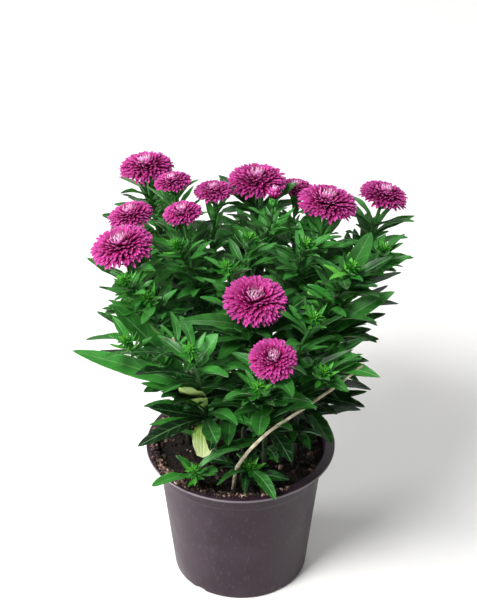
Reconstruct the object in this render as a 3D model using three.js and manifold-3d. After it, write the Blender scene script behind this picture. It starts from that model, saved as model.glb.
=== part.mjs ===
// Potted aster: a 13 cm nursery pot filled with soil, leafy shoots that stand in it, and the
// double flower heads that sit on them. Millimetres, +Z up, origin at the middle of the pot's base.
import * as THREE from 'three';
import { mergeVertices } from 'three/addons/utils/BufferGeometryUtils.js';
import Module from 'manifold-3d';

const wasm = await Module();
wasm.setup();

const TURN = 2 * Math.PI;
const DEGREE = Math.PI / 180;
const GOLDEN_ANGLE = 137.5;

// The pot: a thin tapering wall, a wider collar above a step, and a flat flange round the mouth.
const POT = {
  height: 102, wall: 1.5, sides: 32,
  foot: 46.5, footEdge: 1.2,
  shoulder: 56, shoulderHeight: 87.5,
  collarLow: 58.5, collarHigh: 59.5, step: 1,
  flange: 65, lip: 1.7,
  notches: 5, notchWidth: 10, notchHeight: 3, notchDepth: 8, firstNotch: 233,
};

// The soil fills the pot to just below the collar's top, in a low uneven mound.
const SOIL = { gap: 0.3, edge: 93.5, mound: 2.5, relief: 1.1, rings: [0.6] };

// Shoots are round stems that taper upwards, each standing in a plain hole.
const ROOTED = { depth: 16, collar: 3 };
const STEM = { thick: 1.9, thin: 1.15, sides: 5, steps: 5 };
const TWIG = { thick: 1.05, thin: 0.85, sides: 4, steps: 3 };
const HOLE = { gap: 0.3, sides: 6, floor: 1 };

// Leaves are lance-shaped blades, folded along the midrib, with gently waved edges.
const LEAF = {
  low: 38, high: 33, swell: 15, slender: 0.24, narrowest: 5, arch: 0.1, fold: 0.28, wave: 0.07, waves: 1.5,
  first: 0.2, run: 0.73, lowRise: 4, moreRise: 30, sunk: 0.45, thick: 1.35, thinnest: 0.75,
};
// Long leaves have more stations and a folded upper face, short ones a flat upper face.
const STATIONS = [
  { over: 58, at: [0.14, 0.45, 0.76], folded: true },
  { over: 50, at: [0.18, 0.55], folded: true },
  { over: 20, at: [0.2, 0.55], folded: false },
  { over: 0, at: [0.45], folded: false },
];

// A leaf that would cross a neighbour is bent clear: turned, lifted and shortened as in these rows.
const BENDS = [
  [0, 0, 1], [12, 0, 1], [-12, 0, 1], [0, 12, 1], [0, -12, 1], [22, 8, 0.95], [-22, 8, 0.95],
  [22, -10, 0.92], [-22, -10, 0.92], [0, 26, 0.9], [38, 0, 0.88], [-38, 0, 0.88], [0, -24, 0.85],
  [52, 14, 0.8], [-52, 14, 0.8], [30, 30, 0.75], [-30, 30, 0.75], [70, 0, 0.7], [-70, 0, 0.7], [0, 10, 0.55],
];
const CLEARANCE = 0.5;

// Each flower head: the middle of its dome, its radius, and how far it leans out from upright.
const HEADS = {
  bloom_01: { at: [-64, 80, 277], radius: 18.5, lean: 8 },
  bloom_02: { at: [-45, 45, 284], radius: 12.5, lean: 12 },
  bloom_03: { at: [-73, 35, 265], radius: 15.5, lean: 14 },
  bloom_04: { at: [-76.5, -10, 269], radius: 20.5, lean: 12 },
  bloom_05: { at: [-38, 15, 278], radius: 13, lean: 10 },
  bloom_06: { at: [-18, 45, 277], radius: 13, lean: 6 },
  bloom_07: { at: [11, 68, 273], radius: 20.5, lean: 4 },
  bloom_08: { at: [22, 30, 280], radius: 5, lean: 10 },
  bloom_09: { at: [38, 86, 256], radius: 12.5, lean: 10 },
  bloom_10: { at: [57, 25, 281], radius: 20, lean: 10 },
  bloom_11: { at: [95, 42, 276], radius: 16.5, lean: 16 },
  bloom_12: { at: [9, -45, 250], radius: 20.5, lean: 14 },
  bloom_13: { at: [20, -85, 232], radius: 15.5, lean: 20 },
  bloom_14: { at: [-56, 104, 253], radius: 14, lean: 16 },
  bloom_15: { at: [12, 108, 247], radius: 15, lean: 16 },
  bloom_16: { at: [60, 88, 244], radius: 13, lean: 16 },
};

// Each shoot: where it stands, what it ends in, its leaves, and the twigs along it.
// A twig leaves its shoot at "from", a share of the shoot's length.
const SHOOTS = [
  { name: 'shoot_01', root: [-20, 30], head: 'bloom_01', leaves: 13,
    twigs: [{ from: 0.58, head: 'bloom_02', leaves: 2 }] },
  { name: 'shoot_02', root: [-36, 6], head: 'bloom_04', leaves: 11,
    twigs: [{ from: 0.5, head: 'bloom_03', leaves: 2 }, { from: 0.62, bud: [-73, -36, 256], leaves: 3 },
      { from: 0.5, bud: [-59, -43, 248], leaves: 3 }] },
  { name: 'shoot_03', root: [-12, 10], head: 'bloom_05', leaves: 13,
    twigs: [{ from: 0.55, head: 'bloom_06', leaves: 2 }, { from: 0.62, bud: [-41, -8, 265], leaves: 3 }] },
  { name: 'shoot_04', root: [2, 34], head: 'bloom_07', leaves: 13,
    twigs: [{ from: 0.6, head: 'bloom_08', leaves: 2 }] },
  { name: 'shoot_05', root: [22, 24], head: 'bloom_10', leaves: 13,
    twigs: [{ from: 0.5, head: 'bloom_09', leaves: 2 }, { from: 0.6, bud: [42, -2, 262], leaves: 3 }] },
  { name: 'shoot_06', root: [38, 6], head: 'bloom_11', leaves: 15,
    twigs: [{ from: 0.62, bud: [93, 8, 252], leaves: 3 }] },
  { name: 'shoot_07', root: [2, -10], head: 'bloom_12', leaves: 13,
    twigs: [{ from: 0.6, bud: [-9, -28, 261], leaves: 3 }, { from: 0.55, bud: [6, 6, 261], leaves: 3 }] },
  { name: 'shoot_08', root: [16, -32], head: 'bloom_13', leaves: 11,
    twigs: [{ from: 0.6, bud: [10, -96, 216], leaves: 3 }, { from: 0.5, bud: [46, -60, 244], leaves: 3 }] },
  { name: 'shoot_09', root: [-22, -24], bud: [-31, -84, 236], leaves: 12,
    twigs: [{ from: 0.5, bud: [-72, -60, 226], leaves: 3 }, { from: 0.66, stub: [-42, -66, 233], leaves: 0 }] },
  { name: 'shoot_10', root: [36, -18], bud: [71, -22, 257], leaves: 16,
    twigs: [{ from: 0.5, bud: [52, -74, 212], leaves: 3 }] },
  { name: 'shoot_11', root: [-12, 46], head: 'bloom_14', leaves: 13,
    twigs: [{ from: 0.6, bud: [-52, 96, 236], leaves: 3 }] },
  { name: 'shoot_12', root: [20, 44], head: 'bloom_15', leaves: 13,
    twigs: [{ from: 0.5, head: 'bloom_16', leaves: 2 }] },
  { name: 'low_shoot_left', root: [-27, -40], bud: [-31, -58, 121], leaves: 0, twigs: [] },
  { name: 'low_shoot_front', root: [1, -33], bud: [6, -44, 114], leaves: 3, twigs: [] },
];

// Leaves that stand out one by one: where each leaves its shoot, its tip, and its width.
const MARKED_LEAVES = [
  { on: 'shoot_09', from: 0.66, tip: [-108, -42, 222], width: 12.5, arch: 0.06, roll: -45 },
  { on: 'shoot_09', from: 0.5, tip: [-80, -50, 247], width: 15, arch: 0.08, roll: -30 },
  { on: 'shoot_09', from: 0.4, tip: [-63, -72, 203], width: 10, arch: 0.1, roll: -30 },
  { on: 'shoot_07', from: 0.88, tip: [-43, -68, 256], width: 10.5, arch: 0.12, roll: -35 },
  { on: 'shoot_09', from: 0.88, tip: [-14, -76, 243], width: 14, arch: 0.08, roll: 35 },
  { on: 'shoot_09', from: 0.34, tip: [-66, -76, 156], width: 10, arch: 0.16, roll: -25 },
  { on: 'shoot_09', from: 0.24, tip: [-56, -70, 162], width: 7, arch: 0.14, roll: -20 },
  { on: 'shoot_07', from: 0.7, tip: [36, -52, 256], width: 17, arch: 0.06, roll: 35 },
  { on: 'shoot_10', from: 0.84, tip: [83, -8, 275], width: 13.5, arch: 0.05, roll: 70 },
  { on: 'shoot_10', from: 0.62, tip: [99, -20, 238], width: 13, arch: 0.08, roll: 40 },
  { on: 'shoot_08', from: 0.62, tip: [71, -62, 222], width: 8, arch: 0.08, roll: 30 },
  { on: 'shoot_08', from: 0.5, tip: [69, -66, 207], width: 10.5, arch: 0.1, roll: 30 },
  { on: 'shoot_08', from: 0.4, tip: [45, -88, 210], width: 9.5, arch: 0.08, roll: 20 },
  { on: 'shoot_10', from: 0.3, tip: [62, -62, 171], width: 8.5, arch: 0.12, roll: 30 },
  { on: 'shoot_07', from: 0.25, tip: [17, -78, 165], width: 9, arch: 0.12, roll: 0 },
  { on: 'shoot_09', from: 0.46, tip: [-35, -96, 233], width: 14, arch: 0.05, roll: 10 },
  { on: 'shoot_09', from: 0.3, tip: [-27, -68, 141], width: 14.5, arch: 0.28, roll: 0 },
  { on: 'shoot_09', from: 0.38, tip: [-2, -76, 173], width: 10, arch: 0.1, roll: 10 },
  { on: 'shoot_09', from: 0.3, tip: [14, -76, 169], width: 8, arch: 0.12, roll: 10 },
  { on: 'shoot_09', from: 0.2, tip: [-16, -56, 134], width: 8, arch: 0.12, roll: 20 },
  { on: 'low_shoot_left', from: 0.6, tip: [-58, -70, 119], width: 8, arch: 0.1, roll: 0 },
  { on: 'low_shoot_left', from: 0.7, tip: [-43, -46, 126], width: 7, arch: 0.1, roll: 0 },
  { on: 'low_shoot_left', from: 0.75, tip: [-15, -58, 122], width: 9, arch: 0.12, roll: 0 },
  { on: 'low_shoot_left', from: 0.9, tip: [0, -58, 142], width: 9, arch: 0.14, roll: 0 },
  { on: 'low_shoot_front', from: 0.6, tip: [18, -62, 107], width: 10, arch: 0.12, roll: 0 },
];

// The dry flower stalk of last season leans over the front of the plant.
const DRY_STALK = {
  root: [-5, -44], route: [[-2, -48, 118], [16, -66, 158], [36, -72, 180], [60, -66, 196], [77, -64, 211]],
  thick: 1.3, thin: 0.8, sides: 5, steps: 8,
};

const COLOURS = {
  pot: { color: 0x625e60, roughness: 0.5, metalness: 0 },
  soil: { color: 0x2b201a, roughness: 1, metalness: 0 },
  green: { color: 0x2f7030, roughness: 0.6, metalness: 0 },
  straw: { color: 0xb9a273, roughness: 0.8, metalness: 0 },
  petal: { color: 0xc82f8c, roughness: 0.65, metalness: 0 },
};

// A repeatable series of random numbers.
class Draw {
  constructor(seed) {
    this.state = seed;
  }

  next() {
    this.state = (this.state * 16807) % 2147483647;
    return this.state / 2147483647;
  }

  between(low, high) {
    return low + (high - low) * this.next();
  }
}

// A closed solid from points and triangles, with its faces turned outwards.
function solidOf(points, faces) {
  let volume = 0;
  for (const [a, b, c] of faces) {
    volume += points[a].dot(points[b].clone().cross(points[c]));
  }
  const triangles = volume > 0 ? faces : faces.map(([a, b, c]) => [a, c, b]);
  const mesh = new wasm.Mesh({
    numProp: 3,
    vertProperties: Float32Array.from(points.flatMap((point) => [point.x, point.y, point.z])),
    triVerts: Uint32Array.from(triangles.flat()),
  });
  return new wasm.Manifold(mesh);
}

// A solid from a stock three.js geometry, with its doubled vertices merged.
function solidOfGeometry(geometry) {
  geometry.deleteAttribute('normal');
  geometry.deleteAttribute('uv');
  const merged = mergeVertices(geometry, 1e-4);
  const position = merged.getAttribute('position');
  const points = Array.from({ length: position.count }, (_, i) => new THREE.Vector3().fromBufferAttribute(position, i));
  const faces = [];
  for (let i = 0; i < merged.index.count; i += 3) {
    const face = [0, 1, 2].map((k) => merged.index.getX(i + k));
    if (new Set(face).size === 3) faces.push(face);
  }
  return solidOf(points, faces);
}

// The triangles between two rings of equal length that start at the given indices. Its quads are
// split along one diagonal up to the place "mirrored" on the ring, and along the other from there.
function band(lower, upper, count, mirrored) {
  const faces = [];
  for (let i = 0; i < count; i += 1) {
    const j = (i + 1) % count;
    if (i < mirrored) {
      faces.push([lower + i, lower + j, upper + j], [lower + i, upper + j, upper + i]);
    } else {
      faces.push([lower + i, lower + j, upper + i], [lower + j, upper + j, upper + i]);
    }
  }
  return faces;
}

// A solid through a list of rings, closed by a point at each end.
function loft(first, rings, last, mirrored = rings[0].length) {
  const count = rings[0].length;
  const points = [first, ...rings.flat(), last];
  const end = points.length - 1;
  const top = 1 + count * (rings.length - 1);
  const faces = [];
  for (let i = 0; i < count; i += 1) {
    const j = (i + 1) % count;
    faces.push([0, 1 + j, 1 + i], [end, top + i, top + j]);
  }
  for (let ring = 0; ring + 1 < rings.length; ring += 1) {
    faces.push(...band(1 + ring * count, 1 + (ring + 1) * count, count, mirrored));
  }
  return solidOf(points, faces);
}

// Two directions square to an axis, turned the same way for every axis near upright.
function acrossAxis(axis) {
  const side = new THREE.Vector3(1, 0, 0).addScaledVector(axis, -axis.x).normalize();
  return [side, axis.clone().cross(side)];
}

function ringAt(centre, axis, radius, sides) {
  const [side, other] = acrossAxis(axis);
  return Array.from({ length: sides }, (_, i) => centre.clone()
    .addScaledVector(side, radius * Math.cos((TURN * i) / sides))
    .addScaledVector(other, radius * Math.sin((TURN * i) / sides)));
}

function middleOf(ring) {
  return ring.reduce((sum, point) => sum.add(point), new THREE.Vector3()).divideScalar(ring.length);
}

// A tapering round stem along a curve, starting with any straight part below it.
function stemSolid(curve, below, { thick, thin, sides, steps }) {
  const rings = below.map((point) => ringAt(point, new THREE.Vector3(0, 0, 1), thick, sides));
  for (let i = 0; i <= steps; i += 1) {
    const share = i / steps;
    rings.push(ringAt(curve.getPoint(share), curve.getTangent(share), thick + (thin - thick) * share, sides));
  }
  const first = below.length ? below[0] : curve.getPoint(0);
  return loft(first, rings, curve.getPoint(1));
}

// How far past the middle line of a stem a leaf's root goes, to stay inside it.
function sunkRoot({ thick, thin }, share) {
  return LEAF.sunk * (thick + (thin - thick) * share);
}

// A point on the middle line of a stem, which is straight between the steps of its curve.
function onStem(curve, { steps }, share) {
  const step = Math.min(Math.floor(share * steps), steps - 1);
  return curve.getPoint(step / steps).lerp(curve.getPoint((step + 1) / steps), share * steps - step);
}

// The axis of a head or bud: upright, leaning out from the middle of the plant.
function leaningAxis(at, lean) {
  const outward = new THREE.Vector3(at[0], at[1], 0).normalize();
  const angle = lean * DEGREE;
  return new THREE.Vector3(0, 0, Math.cos(angle)).addScaledVector(outward, Math.sin(angle));
}

// A cubic curve that leaves its start along one direction and arrives along another.
function arc(start, leaving, end, arriving) {
  const reach = start.distanceTo(end) * 0.38;
  return new THREE.CubicBezierCurve3(start, start.clone().addScaledVector(leaving, reach),
    end.clone().addScaledVector(arriving, -reach), end);
}

// Rings of overlapping petals or bracts on a small core, as one closed surface. Every petal is a
// wedge that grows from the core between two creases, with a gap on each side down to the core.
// Each row of the spec gives the tip and the crease above it, as shares of the radius, and each
// ring of petals is turned by half a petal from the ring below.
function layeredHead(foot, axis, spec, radius, draw) {
  const [side, other] = acrossAxis(axis);
  const place = (turns, [out, up]) => foot.clone().addScaledVector(axis, radius * up)
    .addScaledVector(side, radius * out * Math.cos((TURN * turns) / spec.petals))
    .addScaledVector(other, radius * out * Math.sin((TURN * turns) / spec.petals));
  const { petals, tipWidth, layers } = spec;
  const points = [foot];
  const faces = [];
  for (let j = 0; j < petals; j += 1) {
    points.push(place(j, spec.foot));
    faces.push([0, 1 + ((j + 1) % petals), 1 + j]);
  }
  layers.forEach(({ tip, crease }, level) => {
    const turn = level / 2;
    const below = points.length - petals;
    const tips = points.length;
    const above = tips + 2 * petals;
    for (let j = 0; j < petals; j += 1) {
      const reach = [tip[0] * draw.between(0.93, 1), tip[1] + draw.between(-0.025, 0.025)];
      const middle = turn + j + 0.75;
      points.push(place(middle - tipWidth / 2, reach), place(middle + tipWidth / 2, reach));
    }
    for (let j = 0; j < petals; j += 1) {
      const next = (j + 1) % petals;
      const [left, right] = [tips + 2 * j, tips + 2 * j + 1];
      points.push(place(turn + 0.5 + j, crease));
      faces.push([below + j, below + next, right], [below + j, right, left]);
      faces.push([left, right, above + next], [left, above + next, above + j]);
      faces.push([below + next, above + next, right], [below + next, tips + 2 * next, above + next]);
    }
  });
  const last = points.length - petals;
  points.push(foot.clone().addScaledVector(axis, radius * spec.crown));
  for (let j = 0; j < petals; j += 1) {
    faces.push([points.length - 1, last + j, last + ((j + 1) % petals)]);
  }
  return solidOf(points, faces);
}

// A full double head, a smaller one with fewer petals, a half-open one, and a closed green bud.
const FULL_HEAD = {
  petals: 11, tipWidth: 0.6, foot: [0.17, 0], crown: 0.66,
  layers: [
    { tip: [1, -0.1], crease: [0.42, 0.18] },
    { tip: [0.98, 0.14], crease: [0.37, 0.29] },
    { tip: [0.9, 0.39], crease: [0.31, 0.4] },
    { tip: [0.74, 0.62], crease: [0.22, 0.49] },
    { tip: [0.5, 0.78], crease: [0.1, 0.57] },
  ],
};
const SMALL_HEAD = {
  petals: 9, tipWidth: 0.58, foot: [0.2, 0], crown: 0.66,
  layers: [
    { tip: [1, -0.05], crease: [0.44, 0.19] },
    { tip: [0.95, 0.24], crease: [0.36, 0.33] },
    { tip: [0.79, 0.55], crease: [0.25, 0.46] },
    { tip: [0.5, 0.76], crease: [0.1, 0.57] },
  ],
};
const OPENING_HEAD = {
  petals: 7, tipWidth: 0.5, foot: [0.5, 0], crown: 1.6,
  layers: [{ tip: [1, 1.1], crease: [0.62, 0.5] }, { tip: [0.6, 1.8], crease: [0.3, 1.1] }],
};
const GREEN_BUD = {
  petals: 5, tipWidth: 0.2, foot: [0.2, 0], crown: 1.15,
  layers: [{ tip: [1, 0.35], crease: [0.45, 0.5] }, { tip: [0.78, 1.15], crease: [0.2, 0.85] }],
};
const BUD_RADIUS = 6.5;
const FULL_RADIUS = 15;

function headSpec(radius) {
  if (radius > FULL_RADIUS) return FULL_HEAD;
  return radius > BUD_RADIUS ? SMALL_HEAD : OPENING_HEAD;
}

// A head's middle is this share of its radius above the foot that sits on the green cup.
const MIDDLE_HEIGHT = 0.34;
const CUP = { gap: 0.3, height: 6.5, sides: 6, rows: [[0, 0.3], [0.55, 0.95], [1, 1]] };

function cupRadius(head) {
  return 1.5 + head.radius * 0.13;
}

function footOf(head) {
  const axis = leaningAxis(head.at, head.lean);
  const foot = new THREE.Vector3(...head.at).addScaledVector(axis, -MIDDLE_HEIGHT * head.radius);
  return { axis, foot };
}

// The green cup of bracts below a head, ending in a flat face that the head sits on.
function cupSolid(head) {
  const { axis, foot } = footOf(head);
  const top = foot.clone().addScaledVector(axis, -CUP.gap);
  const low = top.clone().addScaledVector(axis, -CUP.height);
  const rings = CUP.rows.map(([up, out]) => ringAt(low.clone().addScaledVector(axis, up * CUP.height), axis,
    out * cupRadius(head), CUP.sides));
  return loft(low, rings, top);
}

// The half width of a blade along its length, as a share of its widest half width.
function bladeShare(share) {
  return Math.sin(Math.PI * share ** 0.9) ** 0.9;
}

// The frame of a blade: along it, up from its face, and across it.
function bladeFrame(leaf) {
  const azimuth = leaf.azimuth * DEGREE;
  const rise = leaf.rise * DEGREE;
  const along = new THREE.Vector3(Math.cos(rise) * Math.cos(azimuth), Math.cos(rise) * Math.sin(azimuth), Math.sin(rise));
  const up = new THREE.Vector3(-Math.sin(rise) * Math.cos(azimuth), -Math.sin(rise) * Math.sin(azimuth), Math.cos(rise));
  up.applyAxisAngle(along, leaf.roll * DEGREE);
  return { along, up, across: along.clone().cross(up) };
}

// A blade grown by a margin on every side, with or without the root that is sunk in its stem. The
// two faces of the waved blade are split into triangles alike, so its thickness stays even.
function bladeSolid(leaf, margin, rooted) {
  const { along, up, across } = bladeFrame(leaf);
  const stations = STATIONS.find(({ over }) => leaf.length > over);
  const rings = stations.at.map((share) => {
    const height = leaf.arch * leaf.length * 4 * share * (1 - share);
    const middle = leaf.root.clone().addScaledVector(along, leaf.length * share).addScaledVector(up, height);
    const slope = 4 * leaf.arch * (1 - 2 * share);
    const normal = up.clone().addScaledVector(along, -slope).normalize();
    const half = (leaf.width / 2) * bladeShare(share);
    const ripple = LEAF.wave * leaf.width;
    const phase = TURN * LEAF.waves * share + leaf.phase;
    const thickness = Math.max(leaf.thick * (1 - 0.4 * share), LEAF.thinnest);
    const dip = LEAF.fold * half;
    const point = (aside, lift) => middle.clone().addScaledVector(across, aside).addScaledVector(normal, lift);
    const crease = stations.folded ? [point(0, margin - dip)] : [];
    return [
      point(-half - margin, ripple * Math.sin(phase)), ...crease,
      point(half + margin, ripple * Math.sin(phase + 2)),
      point(0, -dip - thickness - margin),
    ];
  });
  const tip = leaf.root.clone().addScaledVector(along, leaf.length + margin);
  const start = leaf.root.clone().addScaledVector(along, -leaf.sunk);
  return loft(rooted ? start : middleOf(rings[0]), rings, tip, rings[0].length - 2);
}

// Solids already in place, each with its owner, so that what comes later is bent clear of them.
const placed = [];

function settle(owner, solid) {
  const box = solid.boundingBox();
  placed.push({ owner, solid, box });
  return solid;
}

function boxesMeet(one, two) {
  return [0, 1, 2].every((k) => one.min[k] < two.max[k] && two.min[k] < one.max[k]);
}

function touches(probe, isWanted) {
  const box = probe.boundingBox();
  return placed.some((other) => {
    if (!isWanted(other.owner) || !boxesMeet(box, other.box)) return false;
    const shared = probe.intersect(other.solid);
    const meets = !shared.isEmpty();
    shared.delete();
    return meets;
  });
}

// The first bend of a leaf that is clear of everything in place, or nothing.
function bentClear(leaf, owner) {
  for (const [turn, lift, scale] of BENDS) {
    const bent = {
      ...leaf,
      azimuth: leaf.azimuth + turn * leaf.give,
      rise: leaf.rise + lift * leaf.give,
      length: leaf.length * (1 - (1 - scale) * leaf.give),
    };
    const whole = bladeSolid(bent, CLEARANCE, true);
    const outer = bladeSolid(bent, CLEARANCE, false);
    const crosses = touches(whole, (other) => other !== owner) || touches(outer, (other) => other === owner);
    whole.delete();
    outer.delete();
    if (!crosses) return bent;
  }
  return null;
}

// The pot is one turned shell, with drainage notches cut through its foot.
function potSolid() {
  const stepTop = POT.shoulderHeight + POT.step;
  const rimLow = POT.height - POT.lip;
  const outline = [
    [0, 0], [POT.foot - POT.footEdge, 0], [POT.foot, POT.footEdge], [POT.shoulder, POT.shoulderHeight],
    [POT.collarLow, stepTop], [POT.collarHigh, rimLow], [POT.flange, rimLow], [POT.flange, POT.height],
    [POT.collarHigh - POT.wall, POT.height], [POT.collarLow - POT.wall, stepTop + POT.wall],
    [POT.shoulder - POT.wall, POT.shoulderHeight + POT.wall], [POT.foot - POT.wall, POT.wall], [0, POT.wall],
  ];
  const lathe = new THREE.LatheGeometry(outline.map(([out, up]) => new THREE.Vector2(out, up)), POT.sides);
  lathe.rotateX(Math.PI / 2);
  let pot = solidOfGeometry(lathe);
  for (let i = 0; i < POT.notches; i += 1) {
    const notch = new THREE.BoxGeometry(POT.notchDepth, POT.notchWidth, 2 * POT.notchHeight);
    notch.translate(POT.foot, 0, 0);
    notch.rotateZ((POT.firstNotch + (360 / POT.notches) * i) * DEGREE);
    pot = pot.subtract(solidOfGeometry(notch));
  }
  return pot;
}

// The height of the soil: a low mound with uneven relief, level with its edge at the wall.
function soilHeight(x, y, share) {
  const waves = Math.sin(0.31 * x + 1.3) * Math.cos(0.27 * y) + 0.6 * Math.sin(0.53 * y - 0.41 * x);
  return SOIL.edge + (SOIL.mound + SOIL.relief * waves) * (1 - share * share);
}

// Soil that fills the pot's inside, with a plain hole for every stem that stands in it.
function soilSolid(standing) {
  const inside = POT.wall + SOIL.gap;
  const turned = (out, up) => Array.from({ length: POT.sides }, (_, i) => {
    const angle = (TURN * i) / POT.sides;
    return new THREE.Vector3(out * Math.sin(angle), -out * Math.cos(angle), up);
  });
  const stepTop = POT.shoulderHeight + POT.wall + POT.step;
  const edge = POT.collarLow - inside + 0.25;
  const rings = [
    turned(POT.foot - inside, inside),
    turned(POT.shoulder - inside, POT.shoulderHeight + inside + 0.2),
    turned(POT.collarLow - inside - 0.1, stepTop + 0.2),
    turned(edge, SOIL.edge),
    ...SOIL.rings.map((share) => turned(edge * share, 0).map((point) => {
      point.z = soilHeight(point.x, point.y, share);
      return point;
    })),
  ];
  let soil = loft(new THREE.Vector3(0, 0, inside), rings, new THREE.Vector3(0, 0, soilHeight(0, 0, 0)));
  for (const { root, thick } of standing) {
    const radius = (thick + HOLE.gap) / Math.cos(Math.PI / HOLE.sides);
    const low = new THREE.Vector3(...root, SOIL.edge - ROOTED.depth - HOLE.floor);
    const high = new THREE.Vector3(...root, POT.height);
    const up = new THREE.Vector3(0, 0, 1);
    soil = soil.subtract(loft(low, [ringAt(low, up, radius, HOLE.sides), ringAt(high, up, radius, HOLE.sides)], high));
  }
  return soil;
}

// Where a shoot or twig ends, and the direction in which it gets there.
function endOf(part) {
  if (part.head) {
    const { axis, foot } = footOf(HEADS[part.head]);
    return { end: foot.addScaledVector(axis, -CUP.gap - CUP.height + 1), axis };
  }
  const at = part.bud ?? part.stub;
  return { end: new THREE.Vector3(...at), axis: leaningAxis(at, 24) };
}

// What closes a shoot or twig: the cup below a head, a green bud, or nothing on a cut stub.
function endSolids(part, draw) {
  if (part.head) return [cupSolid(HEADS[part.head])];
  if (!part.bud) return [];
  const { end, axis } = endOf(part);
  return [layeredHead(end.addScaledVector(axis, -1), axis, GREEN_BUD, BUD_RADIUS, draw)];
}

// A shoot's stem and twigs, with their curves kept for the leaves.
function growShoot(shoot, draw) {
  const { end, axis } = endOf(shoot);
  const ground = new THREE.Vector3(...shoot.root, SOIL.edge + ROOTED.collar);
  const bottom = new THREE.Vector3(...shoot.root, SOIL.edge - ROOTED.depth);
  const main = arc(ground, new THREE.Vector3(0, 0, 1), end, axis);
  const solids = [stemSolid(main, [bottom], STEM), ...endSolids(shoot, draw)];
  const curves = [{ curve: main, part: shoot, form: STEM }];
  for (const twig of shoot.twigs) {
    const start = onStem(main, STEM, twig.from);
    const target = endOf(twig);
    const toward = target.end.clone().sub(start).normalize();
    const leaving = main.getTangent(twig.from).add(toward).normalize();
    const curve = arc(start, leaving, target.end, target.axis);
    solids.push(stemSolid(curve, [], TWIG), ...endSolids(twig, draw));
    curves.push({ curve, part: twig, form: TWIG });
  }
  solids.forEach((solid) => settle(shoot.name, solid));
  return { shoot, solids, curves };
}

// A marked leaf runs from its shoot to its own tip.
function markedLeaf(mark, curve, draw) {
  const root = onStem(curve, STEM, mark.from);
  const run = new THREE.Vector3(...mark.tip).sub(root);
  return {
    root, azimuth: Math.atan2(run.y, run.x) / DEGREE, rise: Math.asin(run.z / run.length()) / DEGREE,
    length: run.length(), width: mark.width, arch: mark.arch, roll: mark.roll, sunk: sunkRoot(STEM, mark.from),
    thick: LEAF.thick, phase: draw.between(0, TURN), give: 0.35,
  };
}

// Leaves in a spiral up a shoot or twig: level below, longest midway, short and steep above.
function spiralLeaves({ curve, part, form }, draw) {
  const leaves = [];
  const main = form === STEM;
  const start = draw.between(0, 360);
  for (let i = 0; i < part.leaves; i += 1) {
    const rank = part.leaves > 1 ? i / (part.leaves - 1) : 0.5;
    const share = main ? LEAF.first + LEAF.run * rank ** 0.9 : 0.25 + 0.6 * rank;
    const root = onStem(curve, form, share);
    const azimuth = start + GOLDEN_ANGLE * i + draw.between(-14, 14);
    const height = THREE.MathUtils.clamp((root.z - SOIL.edge) / 160, 0, 1);
    const outward = Math.cos(azimuth * DEGREE - Math.atan2(root.y, root.x));
    const longest = LEAF.low + (LEAF.high - LEAF.low) * height + LEAF.swell * Math.sin(Math.PI * height);
    const size = longest * (0.88 + 0.12 * outward);
    const length = size * draw.between(0.85, 1.12) * (main ? 1 : 0.72);
    leaves.push({
      root, azimuth, rise: LEAF.lowRise + LEAF.moreRise * height + draw.between(-12, 12), length,
      width: Math.max(length * LEAF.slender * draw.between(0.88, 1.15), LEAF.narrowest),
      arch: LEAF.arch * draw.between(0.4, 1.6),
      roll: draw.between(-22, 22), sunk: sunkRoot(form, share), thick: main ? LEAF.thick : 1,
      phase: draw.between(0, TURN), give: 1,
    });
  }
  return leaves;
}

// The dry stalk stands in its own hole and follows its route in one smooth sweep.
function dryStalkSolid() {
  const ground = new THREE.Vector3(...DRY_STALK.root, SOIL.edge + ROOTED.collar);
  const bottom = new THREE.Vector3(...DRY_STALK.root, SOIL.edge - ROOTED.depth);
  const curve = new THREE.CatmullRomCurve3([ground, ...DRY_STALK.route.map((at) => new THREE.Vector3(...at))]);
  return stemSolid(curve, [bottom], DRY_STALK);
}

function meshOf(name, solid, finish) {
  const { numProp, vertProperties, triVerts } = solid.getMesh();
  const geometry = new THREE.BufferGeometry();
  const position = new Float32Array((vertProperties.length / numProp) * 3);
  for (let i = 0; i * numProp < vertProperties.length; i += 1) {
    position.set(vertProperties.subarray(i * numProp, i * numProp + 3), i * 3);
  }
  geometry.setAttribute('position', new THREE.BufferAttribute(position, 3));
  geometry.setIndex(Array.from(triVerts));
  geometry.computeVertexNormals();
  const mesh = new THREE.Mesh(geometry, new THREE.MeshStandardMaterial(finish));
  mesh.name = name;
  return mesh;
}

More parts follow.
